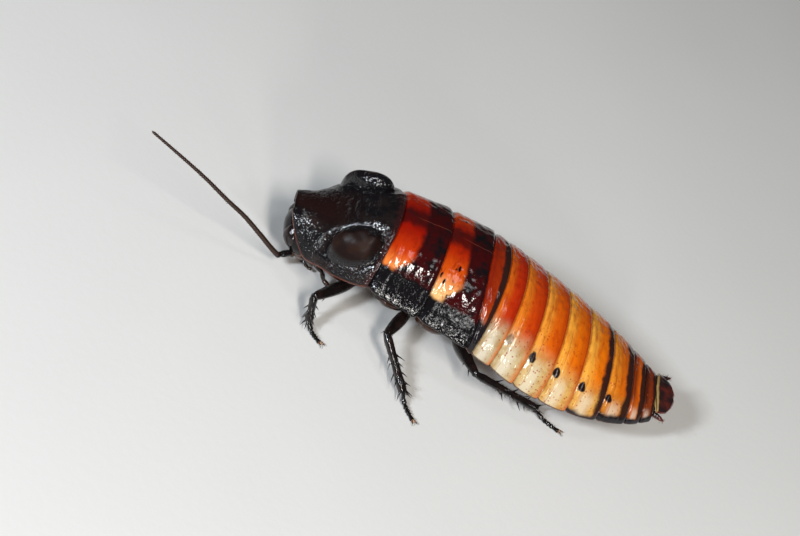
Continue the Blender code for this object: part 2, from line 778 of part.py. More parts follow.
def feeler(side_name, points):
    """One antenna: the stout root and three lengths of the whip."""
    root = [Vector(points[0]), Vector(points[0]).lerp(Vector(points[1]), 0.5), Vector(points[1])]
    root_sizes = [(SCAPE_RADIUS * share, SCAPE_RADIUS * share) for share in SCAPE_THICKNESS]
    scape = make_object(f"antenna_{side_name}_root", tube_mesh(root, root_sizes, FEELER_SIDES), BLACK)
    cut_clear(scape, [head_mesh(GAP)])
    whip = smooth_path(points[1:], 5)
    cuts = (0.0, *FEELER_CUTS, 1.0)
    for number, (low, high) in enumerate(zip(cuts, cuts[1:]), 1):
        path, shares = split_path(whip, low, high)
        radii = [FEELER_RADIUS + (FEELER_END_RADIUS - FEELER_RADIUS) * share for share in shares]
        if high == 1.0:
            radii[-1] *= FEELER_TIP
        piece = make_object(
            f"antenna_{side_name}_length_{number}",
            tube_mesh(path, [(radius, radius) for radius in radii], FEELER_SIDES), DARK_BROWN)
        if low == 0.0:
            cut_clear(piece, [grown_tube(root, root_sizes, FEELER_SIDES)])


def coxa_path(joints):
    """Centre line and sizes of a coxa, the flat broad root of a leg."""
    hip, trochanter = Vector(joints[0]), Vector(joints[1])
    return [hip.lerp(trochanter, share) for share in COXA_SHARES], COXA_SIZES


def femur_path(name, joints):
    """Centre line and sizes of a femur, from inside the coxa's tip to the knee."""
    start, knee = Vector(joints[1]), Vector(joints[2])
    start = start - Vector((0, 0, FEMUR_DROP))
    depth = FEMUR_HALF_DEPTH[name]
    first, last = FEMUR_END_DEPTHS
    depths = (*first, depth, depth * 0.95, *last)
    path = [start.lerp(knee, share) for share in FEMUR_SHARES]
    return path, list(zip(FEMUR_HALF_WIDTHS, depths))


def tibia_path(name, joints):
    """Centre line and sizes of a tibia, from inside the knee to the ankle."""
    knee, ankle = Vector(joints[2]), Vector(joints[3])
    radius = TIBIA_RADIUS[name]
    path = [knee.lerp(ankle, share) for share in TIBIA_SHARES]
    return path, [(radius * thickness,) * 2 for thickness in TIBIA_THICKNESS]


def spine_mesh(root, way, length, radius):
    """A pointed cone with its root at the given point."""
    mesh = bmesh.new()
    way = way.normalized()
    aside = way.orthogonal().normalized()
    third = way.cross(aside)
    ring = []
    for k in range(SPINE_SIDES):
        angle = 2 * math.pi * k / SPINE_SIDES
        ring.append(mesh.verts.new(root + radius * (aside * math.cos(angle) + third * math.sin(angle))))
    tip = mesh.verts.new(root + way * length)
    for k in range(SPINE_SIDES):
        mesh.faces.new((ring[k], ring[(k + 1) % SPINE_SIDES], tip))
    mesh.faces.new(reversed(ring))
    return mesh


def tibia_spines(name, path, draw):
    """Spines along a tibia, closer together towards the ankle."""
    knee, ankle = path[0], path[-1]
    axis = (ankle - knee).normalized()
    aside = axis.orthogonal().normalized()
    third = axis.cross(aside)
    count = SPINE_COUNT[name]
    meshes = []
    for number in range(count):
        share = SPINE_START + SPINE_STRETCH * ((number + 0.5) / count) ** SPINE_CROWDING
        turn = SPINE_TURN * number + draw.uniform(-SPINE_TURN_SCATTER, SPINE_TURN_SCATTER)
        outward = aside * math.cos(turn) + third * math.sin(turn)
        way = outward * SPINE_OUTWARD + axis * SPINE_ONWARD
        length = SPINE_LENGTH * draw.uniform(*SPINE_LENGTH_SPREAD)
        root = knee.lerp(ankle, share)
        if (root + way.normalized() * length).z < SPINE_FLOOR:
            way.z = abs(way.z) * SPINE_LEVELLING
        meshes.append(spine_mesh(root, way, length, SPINE_RADIUS))
    return meshes


def tarsus_path(joints):
    """Centre line and sizes of the foot: five pads in a row, low along the floor."""
    ankle, toe = Vector(joints[3]), Vector(joints[4])
    path = []
    sizes = []
    steps = TARSUS_PADS * 2
    for step in range(steps + 1):
        share = step / steps
        point = ankle.lerp(toe, share)
        point.z = toe.z + (ankle.z - toe.z) * (1 - share) ** TARSUS_FALL
        path.append(point)
        radius = TARSUS_RADIUS * (1.0 if step % 2 else TARSUS_WAIST)
        sizes.append((radius, radius))
    sizes[0] = (TARSUS_RADIUS * TARSUS_ROOT,) * 2
    return path, sizes


def leg(side_name, name, joints, draw):
    """One leg in four pieces, each cut clear of the one before it."""
    label = f"{name}_{side_name}"
    flat_up = Vector((0, 0, 1))
    path, sizes = coxa_path(joints)
    coxa = make_object(f"leg_{label}_coxa", tube_mesh(path, sizes, LEG_SIDES, flat_up), DARK_BROWN)
    cut_clear(coxa, [thorax_cutter()])
    coxa_cutter = grown_tube(path, sizes, LEG_SIDES, flat_up)

    path, sizes = femur_path(name, joints)
    femur = make_object(f"leg_{label}_femur", tube_mesh(path, sizes, LEG_SIDES, flat_up), BLACK)
    cut_clear(femur, [coxa_cutter])
    femur_cutter = grown_tube(path, sizes, LEG_SIDES, flat_up)

    path, sizes = tibia_path(name, joints)
    outward = Vector((1 if side_name == "left" else -1, 0, TIBIA_TILT))
    tibia = make_object(f"leg_{label}_tibia", tube_mesh(path, sizes, LEG_SIDES, outward), BLACK)
    fuse(tibia, tibia_spines(name, path, draw))
    cut_clear(tibia, [femur_cutter])
    tibia_cutter = grown_tube(path, sizes, LEG_SIDES, outward)

    path, sizes = tarsus_path(joints)
    tarsus = make_object(f"leg_{label}_tarsus", tube_mesh(path, sizes, LEG_SIDES, flat_up, floor=0.0), BLACK)
    heading = (path[-1] - path[-2]).normalized()
    beside = heading.cross(flat_up)
    claws = []
    for turn in (-CLAW_SPREAD, CLAW_SPREAD):
        way = heading + beside * turn + flat_up * CLAW_RISE
        root = path[-1] - heading * CLAW_SUNK + flat_up * CLAW_ROOT_HEIGHT
        claws.append(spine_mesh(root, way, CLAW_LENGTH, CLAW_RADIUS))
    fuse(tarsus, claws)
    cut_clear(tarsus, [tibia_cutter])


def palp(name, side):
    """One feeding palp, hanging from the mouth."""
    points = [(side * x, y, z) for x, y, z in LEFT_PALP]
    path = smooth_path(points, 3)
    shares = [PALP_THICKNESS + PALP_SWELLING * (step % 3 == 1) for step in range(len(path))]
    sizes = [(PALP_RADIUS * share,) * 2 for share in shares]
    piece = make_object(name, tube_mesh(path, sizes, FEELER_SIDES), DARK_BROWN)
    cut_clear(piece, [head_mesh(GAP)])


def cercus(name, ends):
    """One short tail feeler."""
    start, end = Vector(ends[0]), Vector(ends[1])
    path = [start.lerp(end, share) for share in CERCUS_SHARES]
    sizes = [(CERCUS_RADIUS * thickness,) * 2 for thickness in CERCUS_THICKNESS]
    piece = make_object(name, tube_mesh(path, sizes, FEELER_SIDES), DARK_BROWN)
    cut_clear(piece, [last_segment_mesh(ABDOMEN_REARS[-2], ABDOMEN_REARS[-1], GAP), supra_anal_mesh(GAP)])


def neck():
    """The soft neck between the head and the trunk."""
    piece = make_object("neck", tube_mesh(NECK_PATH, NECK_SIZES, NECK_SIDES), DARK_BROWN)
    front = PROTHORAX_FRONT - GAP
    core = thorax_core_place(front, NECK_CORE_REAR, HOOD, lambda x, y: hood_bottom(x, y) + GAP)

    def grown(s, t):
        x, y, high, low = core(s, t)
        return x, y, high, low - GAP

    cut_clear(piece, [head_mesh(GAP), slab_mesh((0, 0.5, 1), 6, grown)])


def settle():
    """Turn millimetres into metres with the origin under the middle of the model."""
    pieces = [piece for piece in bpy.data.objects if piece.type == "MESH"]
    corners = [vertex.co for piece in pieces for vertex in piece.data.vertices]
    low = Vector(min(corner[axis] for corner in corners) for axis in range(3))
    high = Vector(max(corner[axis] for corner in corners) for axis in range(3))
    origin = Vector(((low.x + high.x) / 2, (low.y + high.y) / 2, low.z))
    for piece in pieces:
        for vertex in piece.data.vertices:
            vertex.co = (vertex.co - origin) * MM


def main():
    """Build every piece."""
    for old in list(bpy.data.objects):
        bpy.data.objects.remove(old, do_unlink=True)

    head = make_object("head", head_mesh(), BLACK, 0.2)
    cut_clear(head, [pronotum_mesh(GAP)])
    eye("eye_left", 1)
    eye("eye_right", -1)
    palp("palp_left", 1)
    palp("palp_right", -1)
    feeler("left", LEFT_FEELER)
    feeler("right", RIGHT_FEELER)

    make_object("pronotum", pronotum_mesh(), BLACK, 0.25)
    horn("pronotal_horn_left", 1)
    horn("pronotal_horn_right", -1)
    back_plate("mesonotum", PRONOTUM_REAR, MESONOTUM_REAR, DEEP_RED)
    back_plate("metanotum", MESONOTUM_REAR, METANOTUM_REAR, DEEP_RED)
    thorax_core("prothorax", PROTHORAX_FRONT, PRONOTUM_REAR, HOOD, hood_bottom)
    thorax_core("mesothorax", PRONOTUM_REAR + GAP, MESONOTUM_REAR, TRUNK, trunk_plate_bottom)
    thorax_core("metathorax", MESONOTUM_REAR + GAP, METANOTUM_REAR, TRUNK, trunk_plate_bottom)
    neck()

    fronts = (METANOTUM_REAR, *ABDOMEN_REARS)
    colours = (DEEP_RED, DEEP_RED, ORANGE, ORANGE, AMBER, AMBER, AMBER, DARK_BROWN)
    for number, colour in enumerate(colours, 1):
        abdomen_segment(number, fronts[number - 1], fronts[number], colour)
    make_object("abdomen_segment_9", last_segment_mesh(fronts[8], fronts[9]), DARK_BROWN)
    make_object("supra_anal_plate", supra_anal_mesh(), DARK_BROWN)
    cercus("cercus_left", CERCUS_LEFT)
    cercus("cercus_right", CERCUS_RIGHT)

    draw = random.Random(SEED)
    for name in ("fore", "mid", "hind"):
        leg("left", name, LEFT_LEGS[name], draw)
        leg("right", name, RIGHT_LEGS[name], draw)
    settle()


main()
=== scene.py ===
"""The looks of a life-size Madagascar hissing cockroach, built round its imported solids.

Sizes are in millimetres in the animal's own axes: the head points to -Y, its left side
is +X and the feet stand on z = 0. place_piece() turns them into the frame's metres.
"""
import math
import random

import bpy
import numpy as np
from mathutils import Matrix, Vector


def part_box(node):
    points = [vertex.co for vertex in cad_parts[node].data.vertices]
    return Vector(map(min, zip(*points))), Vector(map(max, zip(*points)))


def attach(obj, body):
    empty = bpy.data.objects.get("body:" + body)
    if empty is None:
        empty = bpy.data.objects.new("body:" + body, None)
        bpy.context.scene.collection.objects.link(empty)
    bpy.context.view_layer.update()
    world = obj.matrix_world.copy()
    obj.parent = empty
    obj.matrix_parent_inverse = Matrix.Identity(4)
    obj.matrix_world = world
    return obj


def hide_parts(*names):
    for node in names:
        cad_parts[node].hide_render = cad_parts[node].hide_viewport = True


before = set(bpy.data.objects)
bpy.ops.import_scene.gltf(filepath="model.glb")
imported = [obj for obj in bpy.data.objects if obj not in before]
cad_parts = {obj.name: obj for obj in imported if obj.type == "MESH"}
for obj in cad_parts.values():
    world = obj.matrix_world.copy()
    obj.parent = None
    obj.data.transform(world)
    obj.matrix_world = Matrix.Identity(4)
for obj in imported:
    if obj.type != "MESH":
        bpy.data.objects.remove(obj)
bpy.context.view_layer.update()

MM = 0.001
SEED = 11
SIDES = (("left", 1), ("right", -1))
TAIL_END = 27.6

# The trunk at chosen places along its length: place, half width, height of the side edge,
# height of the back, height of the belly, and sweep of a plate's rear corners.
HALF_WIDTH, EDGE, CROWN, BELLY, SWEEP = range(1, 6)
TRUNK = np.array((
    (-34.0, 9.6, 10.4, 17.5, 6.8, -0.6),
    (-26.6, 10.5, 10.6, 18.0, 6.6, -0.55),
    (-18.8, 11.4, 10.5, 18.6, 6.2, 0.3),
    (-11.7, 11.8, 10.0, 18.5, 5.2, 2.1),
    (-8.2, 11.95, 9.6, 18.05, 4.8, -0.4),
    (-4.8, 12.1, 9.1, 17.4, 4.4, -0.4),
    (-0.4, 12.4, 8.2, 16.2, 3.8, -0.2),
    (4.2, 12.2, 7.5, 15.1, 3.3, 0.0),
    (8.9, 11.5, 7.1, 13.9, 3.1, 0.4),
    (14.0, 10.0, 6.9, 12.6, 3.3, 0.8),
    (18.7, 7.9, 6.9, 11.1, 3.8, 1.2),
    (21.3, 6.4, 7.0, 10.4, 4.3, 1.2),
    (23.6, 5.0, 7.2, 9.9, 4.9, 0.9),
    (28.0, 3.6, 7.8, 9.6, 6.5, 0.4),
))
# The pronotum's hood over the head, in the same columns.
HOOD = np.array((
    (-41.1, 2.3, 10.2, 10.6, 0.0, 0.0),
    (-40.6, 3.1, 9.5, 10.7, 0.0, 0.0),
    (-39.7, 4.1, 8.5, 11.3, 0.0, 0.0),
    (-38.4, 5.4, 7.4, 11.6, 0.0, 0.0),
    (-36.9, 7.0, 7.0, 12.1, 0.0, 0.0),
    (-34.7, 8.9, 8.6, 13.0, 0.0, -0.1),
    (-32.3, 10.0, 9.3, 14.9, 0.0, -0.3),
    (-29.4, 10.5, 10.0, 17.2, 0.0, -0.5),
    (-26.6, 10.5, 10.6, 18.0, 0.0, -0.55),
))
HOOD_FRONT = -41.1
HOOD_REAR = -26.6
MESONOTUM_REAR = -18.8
METANOTUM_REAR = -11.7
PROTHORAX_FRONT = -34.6
THORAX_THICKNESS, THORAX_RELIEF, THORAX_TUCK = 0.6, 0.34, 0.1
PLATE_TUCK, PLATE_SWELL = 0.72, 0.2
ABDOMEN_REARS = (-8.2, -4.8, -0.4, 4.2, 8.9, 14.0, 18.7, 21.3, 23.6)
ARCH = 0.625
BELLY_CURVE = 2.8
# The pronotum and the head are turned a little to the left: their left side lies further
# back by this share of the distance from the midline, from these places forward.
TURN, TURN_START, TURN_END = 0.06, -26.6, -30.5
HOOD_ARCH, HOOD_ARCH_START = 0.55, -33.0
HORN_X, HORN_Y = 6.9, -31.3
HORN_HALF_WIDTH, HORN_HALF_LENGTH, HORN_HEIGHT, HORN_LEAN = 2.5, 3.5, 1.95, 0.45
HORN_ROUNDNESS, HORN_STEEP_FRONT, HORN_TILT = 3.0, 2.7, 0.3

# Head rings: height, place, half width, half depth.
HEAD = np.array((
    (1.0, -35.8, 1.2, 0.9),
    (1.5, -36.0, 2.0, 1.4),
    (2.3, -36.6, 2.7, 1.8),
    (3.3, -37.3, 3.3, 2.2),
    (4.6, -37.9, 3.8, 2.5),
    (6.0, -38.2, 3.8, 2.6),
    (7.3, -38.1, 3.2, 2.4),
    (8.5, -37.9, 2.2, 1.7),
    (9.0, -37.8, 1.2, 0.9),
))
LEFT_FEELER = (
    (2.4, -36.9, 3.1), (4.5, -39.5, 2.7), (5.0, -41.2, 4.0), (5.5, -43.4, 5.7),
    (6.0, -47.0, 8.1), (6.9, -50.6, 10.3), (7.7, -56.0, 13.3), (9.0, -64.7, 17.4),
)
RIGHT_FEELER = (
    (-2.4, -36.9, 3.1), (-4.6, -39.2, 2.5), (-6.5, -38.4, 1.7), (-8.3, -35.6, 1.3),
    (-8.9, -31.5, 1.2), (-8.8, -26.5, 1.6), (-9.6, -21.0, 1.7), (-10.4, -14.5, 1.3),
)
LEFT_PALP = ((2.0, -36.0, 2.3), (3.2, -34.3, 3.2), (3.7, -32.4, 3.0), (3.8, -31.2, 1.6), (3.9, -30.0, 1.1))
LOWER_PALP = ((1.0, -35.4, 1.6), (1.9, -34.9, 1.3), (2.2, -34.0, 1.0), (2.1, -33.4, 0.9))
UPPER_LIP = ((0, -37.1, 2.0), (0, -37.05, 1.5), (0, -36.7, 1.05), (0, -36.3, 0.85))
LIP_HALF_WIDTH, LIP_HALF_THICKNESS = 1.35, 0.22
NECK = ((0, -36.6, 6.6), (0, -35.0, 7.8), (0, -33.4, 8.9))
NECK_HALF_WIDTH, NECK_HALF_DEPTH, NECK_FOLDS = 2.1, 1.35, 9
PALP_RADIUS, PALP_SWELLING, PALP_JOINTS = 0.24, 0.14, 5
CERCUS_ENDS = {"left": ((2.7, 22.8, 7.5), (4.5, 26.6, 7.9)), "right": ((-2.8, 22.9, 7.8), (-4.7, 27.2, 8.6))}
CERCUS_RINGS = 8
CERCUS_PLACES = (0, 0.3, 0.6, 0.85, 1)
CERCUS_RADII = (0.45, 0.6, 0.51, 0.348, 0.072)

# Hip, trochanter, knee, ankle and toe of each leg.
LEGS = {
    "fore_left": ((6.2, -33.4, 7.4), (3.0, -26.6, 4.7), (11.4, -32.8, 5.0),
        (12.8, -31.6, 1.4), (14.7, -28.9, 0.25)),
    "mid_left": ((6.9, -24.4, 7.4), (2.9, -17.2, 4.4), (11.6, -20.5, 5.0),
        (17.5, -14.7, 1.4), (20.6, -12.0, 0.25)),
    "hind_left": ((7.1, -17.0, 7.0), (2.8, -9.6, 3.5), (11.4, -5.4, 5.6),
        (8.0, 7.4, 1.4), (9.2, 12.2, 0.25)),
    "fore_right": ((-6.2, -33.4, 7.4), (-3.0, -26.6, 4.7), (-9.9, -31.0, 4.8),
        (-11.5, -31.0, 1.4), (-13.2, -28.4, 0.25)),
    "mid_right": ((-6.9, -24.4, 7.4), (-2.9, -17.2, 4.4), (-12.0, -19.6, 5.1),
        (-16.9, -13.4, 1.4), (-18.7, -10.0, 0.25)),
    "hind_right": ((-7.1, -17.0, 7.0), (-2.8, -9.6, 3.5), (-11.7, -4.6, 5.7),
        (-12.4, 8.4, 1.4), (-13.9, 12.8, 0.25)),
}
FEMUR_HALF_DEPTH = {"fore": 1.05, "mid": 1.15, "hind": 1.25}
TIBIA_RADIUS = {"fore": 0.6, "mid": 0.66, "hind": 0.68}
SPINE_ROWS = {"fore": 3, "mid": 4, "hind": 5}
TARSUS_RADIUS = 0.45
HAIR_RADIUS, SHIN_HAIR_RADIUS, HAIR_TIP_RADIUS, HAIR_SIDES = 0.028, 0.03, 0.006, 4
# A hair's root as a share of the part's radius, and how far its tip reaches out and leans on.
HAIR_ROOT, RING_HAIR_REACH, RING_HAIR_LEAN, CERCUS_HAIR_REACH = 0.8, 0.16, 0.13, 0.35

# How finely the pieces are divided: rows along them, and columns across or sides round them.
HOOD_ROWS, HOOD_COLUMNS = 150, 201
HORN_ROWS, HORN_SIDES = 42, 72
HEAD_ROWS, HEAD_SIDES = 90, 120
EYE_ROWS, EYE_SIDES = 22, 56
PLATE_ROWS, THORAX_ROWS, PLATE_COLUMNS = 44, 60, 141
BELLY_ROWS, LAST_BELLY_ROWS, BELLY_COLUMNS = 16, 26, 61
CORE_ROWS, CORE_COLUMNS = 26, 49
TAIL_ROWS, TAIL_COLUMNS = 40, 81
WHIP_SIDES, SCAPE_SIDES, SOCKET_SIDES, PALP_SIDES = 14, 24, 28, 16
PALP_ROWS, CERCUS_ROWS, CERCUS_SIDES = 60, 61, 22
COXA_ROWS, COXA_SIDES = 40, 36
FEMUR_ROWS, FEMUR_SIDES, TROCHANTER_SIDES = 64, 30, 24
TIBIA_ROWS, TIBIA_SIDES = 56, 26
FOOT_SIDES, PAD_SIDES, CLAW_ROWS, CLAW_SIDES = 22, 16, 12, 12
RING_HAIRS, CERCUS_HAIRS = 3, 60
# The first seed of each kind of uneven plate.
THORAX_SEED, CORE_SEED, PLATE_SEED, BELLY_SEED = 70, 80, 90, 100

# The camera stands where the photograph was taken from, and is rolled as it was.
CAMERA_AZIMUTH, CAMERA_ELEVATION, CAMERA_ROLL = 73.27, 40.84, 38.12
CAMERA_TARGET = (0.0, -21.735, 7.53)
CAMERA_DISTANCE = 230.0
CAMERA_LENS = 67.71
SENSOR_WIDTH, CLIP_START = 36.0, 0.01

FLOOR_REACH = 3.0
LIT_POINT = (0.0, -8.0, 9.0)


def frame_origin():
    """The animal's own zero in the frame, in metres: it is centred on its abdomen."""
    low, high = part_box("abdomen_segment_4")
    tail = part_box("supra_anal_plate")[1]
    return Vector(((low[0] + high[0]) / 2, tail[1] - TAIL_END * MM, 0.0))


ORIGIN = frame_origin()


def profile(table, place, column):
    """Values of one column at an array of places, on a smooth curve through the rows."""
    x = table[:, 0]
    v = table[:, column]
    slope = np.empty(len(x))
    slope[1:-1] = (v[2:] - v[:-2]) / (x[2:] - x[:-2])
    slope[0] = (v[1] - v[0]) / (x[1] - x[0])
    slope[-1] = (v[-1] - v[-2]) / (x[-1] - x[-2])
    place = np.clip(np.asarray(place, float), x[0], x[-1])
    i = np.clip(np.searchsorted(x, place, side="right") - 1, 0, len(x) - 2)
    span = x[i + 1] - x[i]
    u = (place - x[i]) / span
    return (
        (2 * u**3 - 3 * u**2 + 1) * v[i] + (u**3 - 2 * u**2 + u) * span * slope[i]
        + (3 * u**2 - 2 * u**3) * v[i + 1] + (u**3 - u**2) * span * slope[i + 1]
    )


def ease(value, low, high):
    """Smooth step from 0 at low to 1 at high."""
    u = np.clip((np.asarray(value, float) - low) / (high - low), 0, 1)
    return u * u * (3 - 2 * u)


def ripple(points, size, seed, waves=9):
    """Smooth uneven values, about -1 to 1, with features of a given size."""
    draw = np.random.default_rng(seed)
    total = np.zeros(points.shape[:-1])
    for _ in range(waves):
        way = draw.normal(size=3)
        way *= 2 * math.pi / (size * draw.uniform(0.7, 1.5) * np.linalg.norm(way))
        total += np.sin(points @ way + draw.uniform(0, 2 * math.pi))
    return total / math.sqrt(waves)


def stack(x, y, z):
    """Points from three arrays of coordinates."""
    return np.stack(np.broadcast_arrays(x, y, z), axis=-1).astype(float)


def unit(vector):
    """The vector at a length of 1."""
    vector = np.asarray(vector, float)
    return vector / np.linalg.norm(vector)


def bell(value, middle, width):
    """A smooth bump, 1 at the middle."""
    return np.exp(-((value - middle) / width) ** 2)


def bump(value, feature):
    """A raised or sunk line, from its height, its place and its width."""
    height, place, width = feature
    return height * bell(value, place, width)


class Shape:
    """Points and faces of one piece. Each point's lie is painted on it for the materials: its
    places along and across the piece as shares, and a third value."""

    def __init__(self):
        self.points = []
        self.lie = []
        self.faces = []
        self.count = 0

    def add(self, points, faces, lie):
        """Add points with their lie, and faces by the points' numbers."""
        self.points.append(points.reshape(-1, 3))
        self.lie.append(lie.reshape(-1, 3))
        self.faces.extend(tuple(int(k) + self.count for k in face) for face in faces)
        self.count += len(self.points[-1])

    def solid(self, upper, lower, lie):
        """Closed plate between two sheets of points of the same shape."""
        rows, columns = upper.shape[:2]
        index = np.arange(rows * columns).reshape(rows, columns)
        below = index + rows * columns
        faces = []
        for a, b, c, d in zip(*(part.ravel() for part in (
                index[:-1, :-1], index[:-1, 1:], index[1:, 1:], index[1:, :-1]))):
            faces.append((a, b, c, d))
            faces.append((a + rows * columns, d + rows * columns, c + rows * columns, b + rows * columns))
        for edge, under in ((index[0, ::-1], below[0, ::-1]), (index[-1], below[-1]),
                            (index[:, 0], below[:, 0]), (index[::-1, -1], below[::-1, -1])):
            faces.extend((edge[k], under[k], under[k + 1], edge[k + 1]) for k in range(len(edge) - 1))
        self.add(np.concatenate([upper.reshape(-1, 3), lower.reshape(-1, 3)]), faces,
                 np.concatenate([lie.reshape(-1, 3)] * 2))

    def tube(self, rings, lie=None):
        """Closed tube through rings of points."""
        rows, sides = rings.shape[:2]
        if lie is None:
            lie = stack(np.linspace(0, 1, rows)[:, None], np.linspace(0, 1, sides)[None, :], 0.0)
        index = np.arange(rows * sides).reshape(rows, sides)
        after = np.roll(index, -1, axis=1)
        faces = list(zip(index[:-1].ravel(), after[:-1].ravel(), after[1:].ravel(), index[1:].ravel()))
        faces.append(tuple(index[0, ::-1]))
        faces.append(tuple(index[-1]))
        self.add(rings, faces, lie)

    def rod(self, path, radius, sides, up=(0, 0, 1)):
        """Closed round tube along a path, with one radius for each point."""
        self.tube(sweep(path, radius, radius, sides, up))


def add_hair(shape, root, tip, up, radius=HAIR_RADIUS):
    """A fine straight hair."""
    shape.rod(np.stack([root, tip]), (radius, HAIR_TIP_RADIUS), HAIR_SIDES, up)


def place_piece(shape, name, material, nodes=()):
    """Make the object of one piece, hang it from the root, and hide the imported parts that it stands in
    for.
    """
    points = np.concatenate(shape.points) * MM + np.array(ORIGIN)
    mesh = bpy.data.meshes.new(name)
    mesh.from_pydata(points.tolist(), [], shape.faces)
    lie = mesh.attributes.new("lie", "FLOAT_VECTOR", "POINT")
    lie.data.foreach_set("vector", np.concatenate(shape.lie).astype(np.float32).ravel())
    mesh.shade_smooth()
    mesh.materials.append(material)
    mesh.validate()
    piece = bpy.data.objects.new(name, mesh)
    bpy.context.scene.collection.objects.link(piece)
    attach(piece, "root")
    if nodes:
        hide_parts(*nodes)
    return piece


def smooth_path(points, steps):
    """Points on a smooth curve through the given ones."""
    points = np.array(points, float)
    before = np.vstack([points[:1], points[:-2]])
    after = np.vstack([points[2:], points[-1:]])
    path = []
    for a, b, c, d in zip(before, points[:-1], points[1:], after):
        for u in np.arange(steps) / steps:
            path.append(0.5 * (2 * b + (c - a) * u + (2 * a - 5 * b + 4 * c - d) * u * u
                               + (3 * b - a - 3 * c + d) * u**3))
    path.append(points[-1])
    return np.array(path)


def distances(path):
    """Distance of each point of a path from its start, along the path."""
    steps = np.linalg.norm(np.diff(path, axis=0), axis=1)
    return np.concatenate([[0], np.cumsum(steps)])


def resample(path, count):
    """Points spaced evenly along a path."""
    along = distances(path)
    places = np.linspace(0, along[-1], count)
    return np.stack([np.interp(places, along, path[:, axis]) for axis in range(3)], axis=-1)


def sweep(path, widths, heights, sides, up=(0, 0, 1), squareness=0.0):
    """Rings round a path. The height of the first ring follows the direction up."""
    path = np.asarray(path, float)
    tangents = np.gradient(path, axis=0)
    tangents /= np.linalg.norm(tangents, axis=1)[:, None]
    rise = np.array(up, float)
    angle = 2 * math.pi * (np.arange(sides) + 0.5) / sides
    around = 1 + squareness * np.cos(4 * angle)
    rings = np.empty((len(path), sides, 3))
    for k, tangent in enumerate(tangents):
        rise = rise - tangent * (rise @ tangent)
        rise /= np.linalg.norm(rise)
        aside = np.cross(tangent, rise)
        rings[k] = (path[k] + np.outer(widths[k] * np.cos(angle) * around, aside)
                    + np.outer(heights[k] * np.sin(angle) * around, rise))
    return rings


# A spine's places along its length and its half widths there, as shares, with a socket first.
SPINE_PLACES = np.array((-0.12, 0.0, 0.08, 0.2, 0.45, 0.7, 0.88, 1.0))
SPINE_RADII = np.array((1.15, 1.3, 1.05, 0.85, 0.6, 0.38, 0.2, 0.05))
SPINE_BEND, SPINE_SIDES = 0.18, 8
SLANT = (0.31, 0.52, 0.79)


def curved_spine(shape, root, way, bend, length, radius):
    """One spine: a slender curved cone on a small swollen socket."""
    u = SPINE_PLACES
    way = unit(way)
    path = root + np.outer(u * length, way) + np.outer(u * np.abs(u) * length * SPINE_BEND, bend)
    shape.rod(path, SPINE_RADII * radius, SPINE_SIDES, np.cross(way, SLANT))


COAT_ROUGHNESS = 0.06


